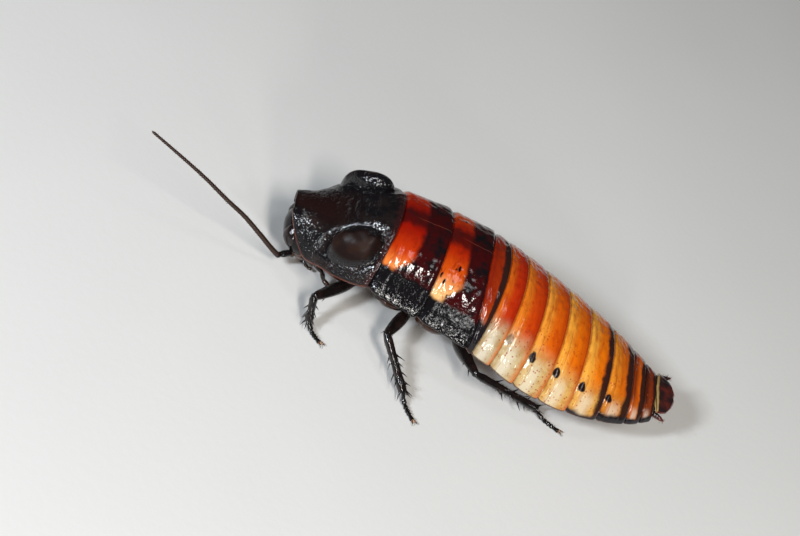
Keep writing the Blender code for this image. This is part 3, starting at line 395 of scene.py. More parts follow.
class Paint:
    """A node material, written as short expressions."""

    def __init__(self, name, roughness=0.25, coat=0.0, specular=0.32):
        self.material = bpy.data.materials.new(name)
        self.material.use_nodes = True
        self.tree = self.material.node_tree
        self.shader = self.tree.nodes["Principled BSDF"]
        self.shader.inputs["Roughness"].default_value = roughness
        self.shader.inputs["Coat Weight"].default_value = coat
        self.shader.inputs["Coat Roughness"].default_value = COAT_ROUGHNESS
        self.shader.inputs["Specular IOR Level"].default_value = specular
        lie = self.new("ShaderNodeAttribute")
        lie.attribute_name = "lie"
        split = self.new("ShaderNodeSeparateXYZ")
        self.link(lie.outputs["Vector"], split.inputs[0])
        self.along, self.across, self.third = split.outputs
        self.aside = self.calc("ABSOLUTE", self.across)
        spot = self.new("ShaderNodeTexCoord")
        grow = self.new("ShaderNodeVectorMath")
        grow.operation = "SCALE"
        grow.inputs["Scale"].default_value = 1 / MM
        self.link(spot.outputs["Object"], grow.inputs[0])
        self.spot = grow.outputs[0]

    def new(self, kind):
        """A new node."""
        return self.tree.nodes.new(kind)

    def link(self, value, socket):
        """Feed a socket from another one, or set it to a colour, vector or number."""
        if isinstance(value, bpy.types.NodeSocket):
            self.tree.links.new(value, socket)
        elif isinstance(value, tuple) and len(value) == 3 and len(socket.default_value) == 4:
            socket.default_value = (*value, 1.0)
        else:
            socket.default_value = value

    def calc(self, operation, a, b=0.0):
        """The result of one math operation."""
        node = self.new("ShaderNodeMath")
        node.operation = operation
        self.link(a, node.inputs[0])
        self.link(b, node.inputs[1])
        return node.outputs[0]

    def step(self, value, low, high):
        """Smooth step from 0 at low to 1 at high, falling where low is the larger."""
        node = self.new("ShaderNodeMapRange")
        node.interpolation_type = "SMOOTHSTEP"
        self.link(value, node.inputs[0])
        node.inputs[1].default_value = min(low, high)
        node.inputs[2].default_value = max(low, high)
        node.inputs[3].default_value = 0.0 if low < high else 1.0
        node.inputs[4].default_value = 1.0 if low < high else 0.0
        return node.outputs[0]

    def line(self, value, middle, half):
        """1 on a thin line where the value is near the middle."""
        off = self.calc("ABSOLUTE", self.calc("SUBTRACT", value, middle))
        return self.step(off, half, half * 0.35)

    def times(self, a, b):
        """The product of two values."""
        return self.calc("MULTIPLY", a, b)

    def plus(self, a, b):
        """The sum of two values."""
        return self.calc("ADD", a, b)

    def inverse(self, share):
        """What the share leaves of 1."""
        return self.calc("SUBTRACT", 1.0, share)

    def uneven(self, scale, spread, least):
        """Values that vary by noise of a scale, from the least up by the spread."""
        return self.plus(self.times(self.noise(scale), spread), least)

    def mix(self, share, a, b):
        """Colour a, turned into colour b by a share."""
        node = self.new("ShaderNodeMix")
        node.data_type = "RGBA"
        self.link(share, node.inputs[0])
        self.link(a, node.inputs[6])
        self.link(b, node.inputs[7])
        return node.outputs[2]

    def stretched(self, x, y, z):
        """The piece's coordinates in millimetres, times a factor along each axis."""
        node = self.new("ShaderNodeVectorMath")
        node.operation = "MULTIPLY"
        self.link(self.spot, node.inputs[0])
        node.inputs[1].default_value = (x, y, z)
        return node.outputs[0]

    def noise(self, scale, detail=3.0, distortion=0.0, vector=None):
        """Smooth noise round 0.5."""
        node = self.new("ShaderNodeTexNoise")
        self.link(vector or self.spot, node.inputs["Vector"])
        node.inputs["Scale"].default_value = scale
        node.inputs["Detail"].default_value = detail
        node.inputs["Distortion"].default_value = distortion
        return node.outputs["Fac"]

    def cells(self, scale, vector=None):
        """Distance from the middle of the nearest cell."""
        node = self.new("ShaderNodeTexVoronoi")
        self.link(vector or self.spot, node.inputs["Vector"])
        node.inputs["Scale"].default_value = scale
        return node.outputs["Distance"]

    def patches(self, scale, detail, low, high):
        """Uneven patches of 1 where the noise is high."""
        return self.step(self.noise(scale, detail), low, high)

    def pits(self, scale, size):
        """Round pits, 0 at their middles and 1 between them."""
        return self.step(self.cells(scale), 0.0, size)

    def wobble(self, value, amount, scale=0.5, detail=3.0):
        """The value shifted unevenly, so that a border wanders."""
        shift = self.times(self.calc("SUBTRACT", self.noise(scale, detail), 0.5), amount * 2)
        return self.plus(value, shift)

    def bumps(self, *layers):
        """Bumps from pairs of a height and its depth in millimetres."""
        normal = None
        for height, depth in layers:
            node = self.new("ShaderNodeBump")
            node.inputs["Distance"].default_value = depth * MM
            self.link(height, node.inputs["Height"])
            if normal is not None:
                self.link(normal, node.inputs["Normal"])
            normal = node.outputs["Normal"]
        self.link(normal, self.shader.inputs["Normal"])
        self.link(normal, self.shader.inputs["Coat Normal"])

    def coat(self, weight):
        """Let the coat's weight follow a value."""
        self.link(weight, self.shader.inputs["Coat Weight"])

    def finish(self, colour, roughness=None):
        """Set the colour and the roughness, and hand over the material."""
        self.link(colour, self.shader.inputs["Base Color"])
        if roughness is not None:
            self.link(roughness, self.shader.inputs["Roughness"])
        return self.material


# Colours, as shares of red, green and blue light.
BLACK = (0.0035, 0.003, 0.0035)
SOOT = (0.011, 0.007, 0.0065)
MAROON = (0.024, 0.0018, 0.002)
HORN_BROWN = (0.007, 0.0035, 0.003)
HORN_TAN = (0.014, 0.006, 0.004)
HOOD_BROWN = (0.009, 0.0035, 0.003)
HOOD_MARGIN = (0.018, 0.005, 0.005)
HOOD_RIM = (0.10, 0.022, 0.012)
RED_STREAK = (0.12, 0.006, 0.002)
RIDGE_TAN = (0.14, 0.035, 0.018)
THORAX_RIM = (0.10, 0.02, 0.010)
ORANGE_EDGE = (0.36, 0.10, 0.018)
DOT_RED = (0.20, 0.030, 0.006)
CREASE_RED = (0.14, 0.018, 0.003)
SEAM_RED = (0.10, 0.012, 0.003)
BAND_BROWN = (0.014, 0.006, 0.005)
END_BLACK = (0.008, 0.006, 0.007)
SPOT_BLACK = (0.008, 0.004, 0.004)
SIDE_RIM = (0.045, 0.014, 0.008)
UNDER_RIM = (0.035, 0.014, 0.008)
DARK_MARGIN = (0.05, 0.010, 0.005)
LIGHT_MARGIN = (0.40, 0.085, 0.008)
CHESTNUT = (0.23, 0.075, 0.022)
DARK_CHESTNUT = (0.05, 0.016, 0.009)
CHESTNUT_MARGIN = (0.07, 0.02, 0.01)
CHESTNUT_PATCH = (0.10, 0.03, 0.012)
LEG_BROWN = (0.012, 0.006, 0.005)
LEG_BLACK = (0.004, 0.003, 0.003)
COXA_BLACK = (0.008, 0.004, 0.003)
COXA_BROWN = (0.034, 0.013, 0.007)
# Pale at a feeler's joints: partly the joints' own colour, partly a painted highlight on the rings.
FEELER_JOINT_AND_GLINT = (0.055, 0.024, 0.012)
FEELER_RING = (0.010, 0.005, 0.004)
FEELER_BROWN = (0.03, 0.012, 0.007)
EYE_BLACK = (0.003, 0.003, 0.004)
EYE_BROWN = (0.016, 0.008, 0.007)
HEAD_BROWN = (0.010, 0.005, 0.005)
MOUTH_BROWN = (0.11, 0.040, 0.016)
LIP_SEAM = (0.20, 0.085, 0.035)
SKIN_BROWN = (0.10, 0.05, 0.028)
SKIN_TAN = (0.26, 0.15, 0.08)
TAIL_BLACK = (0.012, 0.006, 0.006)
TAIL_RED = (0.060, 0.010, 0.007)
TAIL_RIM = (0.14, 0.020, 0.010)
TAIL_SEAM = (0.30, 0.19, 0.07)
PAD_BROWN = (0.20, 0.13, 0.075)
PAD_TAN = (0.32, 0.22, 0.13)
CLAW_RED = (0.085, 0.022, 0.010)
CLAW_BLACK = (0.010, 0.006, 0.005)
FLOOR_GREY = (0.44, 0.43, 0.415)
FLOOR_PALE = (0.48, 0.47, 0.455)
# Where a plate's gloss comes from its coat, its own shine is this faint.
FAINT_SPECULAR = 0.06
RIM_START = 0.965


def horn_material():
    """A horn: dull brown-black on top and outside, glossy and wrinkled on the inner side."""
    paint = Paint("horn_shell", 0.3, specular=FAINT_SPECULAR)
    inwards = paint.step(paint.wobble(paint.across, 0.2, 0.8), 0.0, 0.45)
    inner_side = paint.times(inwards, paint.step(paint.along, 0.15, 0.4))
    foot = paint.step(paint.along, 0.86, 0.97)
    glossy = paint.calc("MAXIMUM", inner_side, foot)
    colour = paint.mix(paint.patches(0.5, 4, 0.4, 0.7), HORN_BROWN, HORN_TAN)
    colour = paint.mix(glossy, colour, BLACK)
    pits = paint.pits(2.6, 0.34)
    paint.bumps((paint.times(paint.noise(1.7, 1, 0.8), glossy), 0.16), (paint.times(pits, glossy), 0.07),
                (paint.noise(2.5, 3), 0.012))
    paint.coat(paint.times(glossy, 0.8))
    return paint.finish(colour, paint.plus(paint.times(glossy, -0.25), 0.38))


def hood_material():
    """The pronotum: black at the sides, browner on the smooth middle, a red-brown rim."""
    paint = Paint("pronotum_shell", 0.1, coat=0.10, specular=0.21)
    middle = paint.times(paint.step(paint.wobble(paint.aside, 0.12), 0.42, 0.12),
                         paint.step(paint.along, 0.72, 0.35))
    colour = paint.mix(paint.patches(0.4, 4, 0.4, 0.7), BLACK, SOOT)
    colour = paint.mix(middle, colour, HOOD_BROWN)
    rear = paint.step(paint.wobble(paint.along, 0.03, 0.8), 0.91, 0.98)
    colour = paint.mix(rear, colour, HOOD_MARGIN)
    colour = paint.mix(paint.times(paint.step(paint.aside, RIM_START, 1.0), 0.7), colour, HOOD_RIM)
    off_horn = paint.inverse(paint.step(paint.third, 0.5, 0.9))
    rough = paint.plus(paint.times(paint.step(paint.aside, 0.15, 0.5), 0.4), 0.6)
    rough = paint.times(rough, off_horn)
    paint.bumps((paint.times(paint.noise(1.5, 1, 0.8), rough), 0.20),
                (paint.times(paint.pits(2.5, 0.36), rough), 0.08),
                (paint.times(paint.pits(4.2, 0.4), off_horn), 0.03),
                (paint.noise(1.2, 2, 0.5, paint.stretched(0.5, 2.2, 1.0)), 0.06))
    return paint.finish(colour, paint.uneven(2.5, 0.10, 0.03))


# Each thorax plate's colours from the back to the flank, how far from the midline its black
# side lobe starts, and the scale of its dark drops, 0 where it has none.
THORAX_LOOKS = {
    "mesonotum": ((0.17, 0.004, 0.001), (0.31, 0.022, 0.002), (0.50, 0.13, 0.024), 0.58, 0.0),
    "metanotum": ((0.22, 0.009, 0.001), (0.37, 0.050, 0.003), (0.50, 0.26, 0.095), 0.62, 0.62),
}
DARK_BAND_START, DARK_BAND_END = 0.44, 0.56


def thorax_colour(paint, red, light, cream, lobe, drops):
    """Red in front, black-maroon behind, pale flanks, black side lobes and a fine ridge."""
    along = paint.wobble(paint.along, 0.08, 0.5)
    aside = paint.wobble(paint.aside, 0.04, 0.6)
    colour = paint.mix(paint.step(aside, 0.12, 0.44), red, light)
    colour = paint.mix(paint.step(aside, 0.36, 0.60), colour, cream)
    streaks = paint.noise(0.9, 5, 1.0, paint.stretched(0.6, 1.6, 0.6))
    colour = paint.mix(paint.times(paint.step(streaks, 0.5, 0.75), 0.6), colour, RED_STREAK)
    if drops:
        cells = paint.cells(drops, paint.stretched(0.7, 1.7, 0.7))
        dots = paint.times(paint.step(cells, 0.27, 0.18), paint.patches(0.4, 2, 0.46, 0.54))
        colour = paint.mix(dots, colour, BLACK)
    dark = paint.mix(paint.patches(0.5, 3, 0.3, 0.6), BLACK, MAROON)
    middle = paint.step(paint.wobble(paint.aside, 0.05, 0.7), 0.16, 0.05)
    colour = paint.mix(paint.times(middle, 0.85), colour, dark)
    rounding = paint.times(paint.step(paint.aside, lobe - 0.20, lobe + 0.02), 0.26)
    band = paint.step(paint.plus(along, rounding), DARK_BAND_START, DARK_BAND_END)
    colour = paint.mix(band, colour, dark)
    colour = paint.mix(paint.step(aside, lobe, lobe + 0.05), colour, BLACK)
    ridge = paint.times(paint.line(paint.across, 0.0, 0.004), paint.step(paint.along, 0.2, 0.5))
    colour = paint.mix(paint.times(ridge, 0.6), colour, RIDGE_TAN)
    return paint.mix(paint.times(paint.step(paint.aside, RIM_START, 1.0), 0.4), colour, THORAX_RIM)


def thorax_material(name):
    """A thorax plate: glossy, with rough side lobes that are dull above and bright at the rim."""
    paint = Paint(f"{name}_shell", 0.12, specular=FAINT_SPECULAR)
    colour = thorax_colour(paint, *THORAX_LOOKS[name])
    lobe = THORAX_LOOKS[name][3]
    lobes = paint.step(paint.aside, lobe - 0.08, lobe + 0.02)
    outer = paint.step(paint.wobble(paint.aside, 0.05, 0.8), 0.76, 0.90)
    side = paint.plus(paint.plus(paint.times(lobes, 0.20), paint.times(outer, 0.46)), 0.12)
    grain = paint.noise(2.0, 1, 0.8, paint.stretched(1.3, 0.8, 1.3))
    paint.bumps((paint.times(grain, side), 0.12), (paint.times(paint.pits(2.8, 0.36), side), 0.04),
                (paint.noise(1.3, 2), 0.04))
    dull = paint.times(lobes, paint.inverse(outer))
    paint.coat(paint.plus(paint.times(dull, -0.33), 0.36))
    return paint.finish(colour, paint.plus(paint.times(dull, 0.06), paint.uneven(2.0, 0.10, 0.03)))


# Colours of the abdomen's plates: back, flank, front band, width of the dark rear margin,
# how far from the midline the side ends turn black, and how dark each side's spot is.
ABDOMEN_LOOKS = (
    ((0.180, 0.015, 0.002), (0.240, 0.040, 0.006), (0.139, 0.009, 0.002), 0.34, 0.56, 0.0),
    ((0.295, 0.018, 0.002), (0.304, 0.256, 0.172), (0.344, 0.061, 0.004), 0.0, 1.1, 0.25),
    ((0.353, 0.034, 0.002), (0.344, 0.284, 0.172), (0.410, 0.102, 0.007), 0.0, 1.1, 0.6),
    ((0.426, 0.070, 0.002), (0.376, 0.284, 0.136), (0.476, 0.172, 0.018), 0.0, 1.1, 1.0),
    ((0.459, 0.094, 0.002), (0.416, 0.260, 0.084), (0.500, 0.201, 0.021), 0.0, 1.1, 1.0),
    ((0.467, 0.102, 0.002), (0.416, 0.228, 0.056), (0.500, 0.213, 0.025), 0.22, 0.85, 1.0),
    ((0.394, 0.082, 0.003), (0.360, 0.136, 0.019), (0.426, 0.139, 0.011), 0.30, 0.74, 1.0),
    ((0.377, 0.066, 0.002), (0.304, 0.076, 0.008), (0.107, 0.016, 0.003), 0.36, 0.76, 0.0),
    ((0.123, 0.018, 0.004), (0.120, 0.024, 0.006), (0.033, 0.007, 0.003), 0.25, 0.70, 0.0),
)
# Whitish colour of the painted sheen across the abdomen's flanks: a painted highlight, not the shell's own
# colour.
PAINTED_SHEEN_WHITE = (0.42, 0.37, 0.29)
PLATE_COAT, SPOT_DULLING = 0.52, 0.45
SPOT_PLACE, SPOT_LENGTH, SPOT_ASIDE, SPOT_REACH = 0.15, 0.115, 0.57, 0.055


def side_spot(paint):
    """A drop-shaped dark spot on each side, close behind the plate before."""
    s = paint.times(paint.calc("SUBTRACT", paint.along, SPOT_PLACE), 1 / SPOT_LENGTH)
    q = paint.times(paint.calc("SUBTRACT", paint.aside, SPOT_ASIDE), 1 / SPOT_REACH)
    narrow = paint.plus(1.0, paint.times(q, 0.35))
    s = paint.calc("DIVIDE", s, narrow)
    reach = paint.calc("SQRT", paint.plus(paint.times(s, s), paint.times(q, q)))
    return paint.step(paint.wobble(reach, 0.3, 0.9), 1.15, 0.8)


def scaled(colour, shares):
    """A colour with each of its parts times a share."""
    return tuple(part * share for part, share in zip(colour, shares))


def abdomen_back(paint, back, front):
    """The back of a plate: a lighter front band, warm streaks and a darker rear."""
    along = paint.wobble(paint.along, 0.07, 0.45)
    warm = scaled(back, (0.62, 0.35, 0.4))
    colour = paint.mix(paint.step(along, 0.55, 0.18), back, front)
    colour = paint.mix(paint.times(paint.step(along, 0.55, 0.90), 0.75), colour, warm)
    streaks = paint.noise(0.55, 5, 0.6, paint.stretched(1.0, 2.0, 1.0))
    return paint.mix(paint.times(paint.step(streaks, 0.45, 0.72), 0.55), colour, warm)


def abdomen_flank(paint, flank):
    """The pale flank of a plate: murky patches, a painted sheen as a whitish belt across it and an orange
    rear edge.
    """
    along = paint.wobble(paint.along, 0.07, 0.45)
    murk = scaled(flank, (0.74, 0.58, 0.40))
    light = scaled(flank, (0.94, 0.86, 0.76))
    pale = paint.mix(paint.step(paint.noise(0.9, 5, 0.5), 0.38, 0.66), light, murk)
    # A whitish belt across the middle of each flank is a painted sheen, a painted highlight standing in for
    # the flank's gloss.
    painted_sheen = tuple(0.45 * own + 0.55 * white for own, white in zip(flank, PAINTED_SHEEN_WHITE))
    sheen_belt = paint.times(paint.step(along, 0.12, 0.34), paint.step(along, 0.74, 0.46))
    pale = paint.mix(paint.times(sheen_belt, paint.step(paint.aside, 0.52, 0.72)), pale, painted_sheen)
    return paint.mix(paint.times(paint.step(along, 0.72, 0.97), 0.8), pale, ORANGE_EDGE)


def abdomen_marks(paint, colour):
    """Fine dots, a crease across the plate and the seam near its rear edge."""
    dots = paint.times(paint.step(paint.cells(1.7), 0.29, 0.16), paint.patches(0.5, 2, 0.38, 0.52))
    dots = paint.times(dots, paint.step(paint.aside, 0.1, 0.4))
    colour = paint.mix(paint.times(dots, 0.8), colour, DOT_RED)
    crease = paint.times(paint.line(paint.along, 0.27, 0.012), paint.patches(0.35, 2, 0.42, 0.6))
    colour = paint.mix(paint.times(crease, 0.6), colour, CREASE_RED)
    seam = paint.times(paint.line(paint.along, 0.925, 0.016), 0.75)
    fade = paint.plus(paint.times(paint.step(paint.aside, 0.70, 0.35), 0.8), 0.2)
    return paint.mix(paint.times(seam, fade), colour, SEAM_RED)


def abdomen_edges(paint, colour, dark, end):
    """The dark rear band, the rear margin and the black side ends."""
    if dark:
        band = paint.step(paint.wobble(paint.along, 0.16, 0.4), 0.94 - dark, 1.06 - dark)
        colour = paint.mix(paint.times(band, 0.97), colour, BAND_BROWN)
    margin = paint.step(paint.along, 0.945, 0.975)
    colour = paint.mix(paint.times(margin, 0.8), colour, DARK_MARGIN if dark else LIGHT_MARGIN)
    if end < 1:
        ends = paint.step(paint.wobble(paint.aside, 0.07, 0.5), end, end + 0.10)
        colour = paint.mix(ends, colour, END_BLACK)
    return colour


def abdomen_material(number):
    """One back plate of the abdomen: banded, speckled, with pale flanks and side spots."""
    back, flank, front, dark, end, spotted = ABDOMEN_LOOKS[number - 1]
    paint = Paint(f"abdomen_shell_{number}", 0.10, specular=FAINT_SPECULAR)
    flanks = paint.step(paint.wobble(paint.aside, 0.07, 0.3), 0.40, 0.64)
    colour = paint.mix(flanks, abdomen_back(paint, back, front), abdomen_flank(paint, flank))
    colour = abdomen_edges(paint, abdomen_marks(paint, colour), dark, end)
    gloss = PLATE_COAT
    if spotted:
        spot = side_spot(paint)
        colour = paint.mix(paint.times(spot, spotted), colour, SPOT_BLACK)
        gloss = paint.calc("SUBTRACT", PLATE_COAT, paint.times(spot, SPOT_DULLING))
    paint.coat(gloss)
    colour = paint.mix(paint.times(paint.step(paint.aside, 0.972, 0.99), 0.85), colour, SIDE_RIM)
    colour = paint.mix(paint.step(paint.aside, 1.015, 1.05), colour, UNDER_RIM)
    folds = paint.noise(0.8, 4, 0.4, paint.stretched(0.8, 1.6, 0.8))
    paint.bumps((folds, 0.10), (paint.noise(2.4, 2), 0.03))
    return paint.finish(colour, paint.uneven(1.5, 0.12, 0.04))


def belly_material():
    """Belly plates: chestnut with darker sides and margins."""
    paint = Paint("belly_shell", 0.22, coat=0.3)
    colour = paint.mix(paint.step(paint.wobble(paint.aside, 0.1), 0.35, 0.85), CHESTNUT, DARK_CHESTNUT)
    colour = paint.mix(paint.step(paint.along, 0.75, 0.95), colour, CHESTNUT_MARGIN)
    colour = paint.mix(paint.patches(0.8, 4, 0.5, 0.8), colour, CHESTNUT_PATCH)
    paint.bumps((paint.noise(1.2, 4), 0.05), (paint.noise(5, 2), 0.015))
    return paint.finish(colour)


def leg_material():
    """Glossy black leg shell, browner where it is thin."""
    paint = Paint("leg_shell", 0.12, coat=0.30, specular=0.24)
    colour = paint.mix(paint.patches(0.7, 3, 0.45, 0.75), LEG_BLACK, LEG_BROWN)
    paint.bumps((paint.noise(2.2, 4, 0.4), 0.03), (paint.cells(5.5), 0.02))
    return paint.finish(colour, paint.uneven(3.0, 0.14, 0.05))


def coxa_material():
    """Leg roots: dark brown, paler along their edges."""
    paint = Paint("coxa_shell", 0.22, coat=0.3)
    colour = paint.mix(paint.patches(0.5, 3, 0.4, 0.7), COXA_BLACK, COXA_BROWN)
    paint.bumps((paint.noise(1.4, 4), 0.06), (paint.noise(6.0, 2), 0.015))
    return paint.finish(colour)


def feeler_material():
    """Feelers: dark brown rings with paler joints, their pale partly a painted highlight on the rings, and a
    bloom of short hair.
    """
    paint = Paint("feeler_shell", 0.34)
    # Pale at the narrow joints, dark on the swollen rings: the pale is partly a painted highlight.
    colour = paint.mix(paint.step(paint.third, 0.2, 0.75), FEELER_JOINT_AND_GLINT, FEELER_RING)
    colour = paint.mix(paint.patches(1.5, 3, 0.55, 0.8), colour, FEELER_BROWN)
    paint.bumps((paint.noise(9, 3), 0.03))
    return paint.finish(colour)


def eye_material():
    """Compound eyes: deep black, with tiny facets."""
    paint = Paint("eye_facets", 0.08, coat=0.3)
    colour = paint.mix(paint.noise(0.9, 3), EYE_BLACK, EYE_BROWN)
    paint.bumps((paint.cells(9.0), 0.012))
    return paint.finish(colour)


def head_material():
    """Head: smooth glossy black, brown round the mouth, a pale spot over each feeler."""
    paint = Paint("head_shell", 0.1, coat=0.15, specular=0.22)
    colour = paint.mix(paint.patches(0.6, 3, 0.45, 0.75), BLACK, HEAD_BROWN)
    colour = paint.mix(paint.step(paint.wobble(paint.along, 0.03), 0.30, 0.16), colour, MOUTH_BROWN)
    colour = paint.mix(paint.line(paint.along, 0.285, 0.012), colour, LIP_SEAM)
    paint.bumps((paint.noise(1.4, 2), 0.03), (paint.cells(4.0), 0.006))
    return paint.finish(colour, paint.uneven(2.0, 0.10, 0.02))


def skin_material():
    """Soft folded skin of the neck and between the plates."""
    paint = Paint("soft_skin", 0.5)
    colour = paint.mix(paint.noise(1.2, 4), SKIN_BROWN, SKIN_TAN)
    paint.bumps((paint.noise(2.5, 5, 1.0), 0.12))
    return paint.finish(colour)


def tail_material():
    """Tail plates: very dark red-brown with a reddish rim and a pale front seam."""
    paint = Paint("tail_shell", 0.14, coat=0.15)
    colour = paint.mix(paint.patches(0.5, 4, 0.4, 0.7), TAIL_BLACK, TAIL_RED)
    rim = paint.calc("MAXIMUM", paint.step(paint.aside, 0.86, 1.0), paint.step(paint.along, 0.88, 1.0))
    colour = paint.mix(paint.times(rim, 0.8), colour, TAIL_RIM)
    seam = paint.step(paint.wobble(paint.along, 0.04, 0.9), 0.16, 0.07)
    colour = paint.mix(paint.times(seam, 0.8), colour, TAIL_SEAM)
    paint.bumps((paint.noise(1.2, 4), 0.06), (paint.noise(5.0, 2), 0.015))
    return paint.finish(colour)


def pad_material():
    """Pale soft pads under the feet."""
    paint = Paint("foot_pad", 0.45)
    colour = paint.mix(paint.noise(2.0, 3), PAD_BROWN, PAD_TAN)
    paint.bumps((paint.noise(8.0, 3), 0.02))
    return paint.finish(colour)


def claw_material():
    """Claws: red-brown, darker to the tip."""
    paint = Paint("claw_horn", 0.18, coat=0.4)
    colour = paint.mix(paint.step(paint.along, 0.2, 0.8), CLAW_RED, CLAW_BLACK)
    paint.bumps((paint.noise(6.0, 2), 0.01))
    return paint.finish(colour)


# An arched section runs over the back from -1 to 1 and rolls under the side edge beyond.
ROLL_RADIUS = 0.42
ROLL_REACH = 1.5
ROLL_SHARE = 0.1


def arched_section(q, half_width, edge, crown, inset=0.0, power=ARCH):
    """Point across and height of a section at q. inset moves it inwards."""
    over = np.clip(np.abs(q), 0, 1) * math.pi / 2
    x = (half_width - inset) * np.sin(over)
    z = edge + (crown - inset - edge) * np.maximum(np.cos(over), 0) ** (2 * power)
    turn = np.clip((np.abs(q) - 1) / ROLL_SHARE, 0, 1)
    radius = ROLL_RADIUS - inset * 0.6
    x = x - np.where(turn > 0, radius * (1 - np.cos(turn * math.pi)) * 0.5 + ROLL_REACH * turn**3, 0)
    z = z - np.where(turn > 0, radius * np.sin(turn * math.pi / 2) * 1.4, 0)
    return np.sign(q) * x, z


def section_steps(columns):
    """Places across a plate, with a few more on each rolled edge."""
    inner = np.linspace(-1, 1, columns)
    roll = 1 + ROLL_SHARE * np.array((0.12, 0.28, 0.45, 0.65, 0.85, 1.0))
    return np.concatenate([-roll[::-1], inner, roll])


# Raised and sunk lines, each with its height, its place and its width: first across a thorax
# plate, then along each back plate.
SLOPE_SWELLING, SIDE_GROOVE, OUTER_RIM = (0.55, 0.46, 0.13), (-0.6, 0.74, 0.09), (1.25, 0.955, 0.05)
CREASE = (-0.03, 0.27, 0.03)
LIP_STEPS = (0.93, 0.955, 0.975, 0.99, 1.0)
PLATE_RISE, LIP_FALL = 0.13, 0.14
PLATE_RIPPLE, RIPPLE_SIZE = 0.03, 1.6
PLATE_THICKNESS, PLATE_DROP = 0.32, 0.42
# Where along a back plate each change starts and where it is complete.
RISE_SPAN, DROP_SPAN, LIP_SPAN, THINNING_SPAN = (0.55, 0.95), (0.16, -0.02), (0.955, 1.0), (0.93, 1.0)
RELIEF_START, RELIEF_END, SWELL_ASIDE = (0.0, 0.12), (1.0, 0.93), (0.15, 0.5)
BELLY_INSET, BELLY_DROP, BELLY_THICKNESS, BELLY_ROUNDNESS = 1.2, 0.62, 0.35, 0.75


def side_relief(q, x, z, depth, barrel):
    """Swell the slope of a plate, with a groove below it and a raised outer rim."""
    aside = np.abs(q)
    shift = depth * sum(bump(aside, line) for line in (SLOPE_SWELLING, SIDE_GROOVE, OUTER_RIM)) + barrel
    over = np.clip(aside, 0, 1) * math.pi / 2
    return x + np.sign(q) * shift * np.sin(over), z + shift * np.cos(over)


def back_plate_shape(front, rear, tuck, seed, rows=PLATE_ROWS, thickness=PLATE_THICKNESS,
                     drop=PLATE_DROP, relief=0.0, swell=0.0):
    """An arched back plate, with its front under the plate before it and a lip behind."""
    shape = Shape()
    s = np.concatenate([np.linspace(-tuck, 0.9, rows), LIP_STEPS])[:, None]
    q = section_steps(PLATE_COLUMNS)[None, :]
    t = np.sin(np.clip(q, -1, 1) * math.pi / 2)
    middle = front + (rear - front) * s
    near_front = profile(TRUNK, front, SWEEP)
    near_rear = profile(TRUNK, rear, SWEEP)
    y = middle + (near_front * (1 - s) + near_rear * s) * t**2
    lift = PLATE_RISE * ease(s, *RISE_SPAN) - drop * ease(s, *DROP_SPAN)
    lift = lift + bump(s, CREASE) - LIP_FALL * ease(s, *LIP_SPAN)
    barrel = swell * np.sin(math.pi * np.clip((s - 0.1) / 0.85, 0, 1)) * ease(np.abs(q), *SWELL_ASIDE)
    half_width = profile(TRUNK, middle, HALF_WIDTH) + lift
    edge = profile(TRUNK, middle, EDGE)
    crown = profile(TRUNK, middle, CROWN) + lift
    x, z = arched_section(q, half_width, edge, crown)
    depth = relief * ease(s, *RELIEF_START) * ease(s, *RELIEF_END)
    x, z = side_relief(q, x, z, depth, barrel)
    upper = stack(x, y, z)
    ripples = ripple(upper * (1.0, 1.6, 1.0), RIPPLE_SIZE, seed + 1)
    upper[..., 2] += PLATE_RIPPLE * ripples * (1 - t**2) ** 0.3
    inset = thickness * (1 - 0.75 * ease(s, *THINNING_SPAN))
    lower_x, lower_z = arched_section(q, half_width, edge, crown, inset)
    lower_x, lower_z = side_relief(q, lower_x, lower_z, depth, barrel)
    lower = stack(lower_x, y, lower_z - 0.02)
    shape.solid(upper, lower, stack(s, q, 0.0))
    return shape


def belly_plate_shape(front, rear, seed):
    """A belly plate, hung between the rolled edges of the back plate."""
    shape = Shape()
    s = np.linspace(-0.12, 1.0, BELLY_ROWS)[:, None]
    q = np.linspace(-1, 1, BELLY_COLUMNS)[None, :]
    t = np.sin(q * math.pi / 2)
    middle = np.clip(front + (rear - front) * s, -30, 27)
    y = middle + profile(TRUNK, middle, SWEEP) * t**2
    half_width = profile(TRUNK, middle, HALF_WIDTH) - BELLY_INSET
    edge = profile(TRUNK, middle, EDGE) - BELLY_DROP
    belly = profile(TRUNK, middle, BELLY)
    lift = 0.16 * ease(s, 0.15, -0.1)
    z = edge + (belly - edge) * (1 - t**2) ** BELLY_ROUNDNESS + lift
    low = stack(half_width * t, y, z)
    low[..., 2] += 0.05 * ripple(low, 2.2, seed)
    shape.solid(low + (0, 0, BELLY_THICKNESS), low, stack(s, q, 0.0))
    return shape


def turn_left(points):
    """Points of the pronotum or the head once they are turned to the left."""
    x, y, z = np.moveaxis(points, -1, 0)
    return stack(x, y + TURN * x * ease(y, TURN_START, TURN_END), z)


def hood_section(y):
    """Half width, edge, crown and roundness of the pronotum at a place."""
    share = np.clip((y - HOOD_ARCH_START) / (HOOD_REAR - HOOD_ARCH_START), 0, 1)
    half_width, edge, crown = (profile(HOOD, y, column) for column in (HALF_WIDTH, EDGE, CROWN))
    return half_width, edge, crown, HOOD_ARCH + (ARCH - HOOD_ARCH) * share


def horn_distance(x, y):
    """Distance from the nearer horn's middle, as a share of its size."""
    return np.hypot((np.abs(x) - HORN_X) / HORN_HALF_WIDTH, (y - HORN_Y) / HORN_HALF_LENGTH)


def hood_base(x, y):
    """Height of the pronotum's smooth arch, and the place across it as a share."""
    half_width, edge, crown, power = hood_section(y)
    t = np.clip(x / half_width, -1, 1)
    return edge + (crown - edge) * (1 - t * t) ** power, t


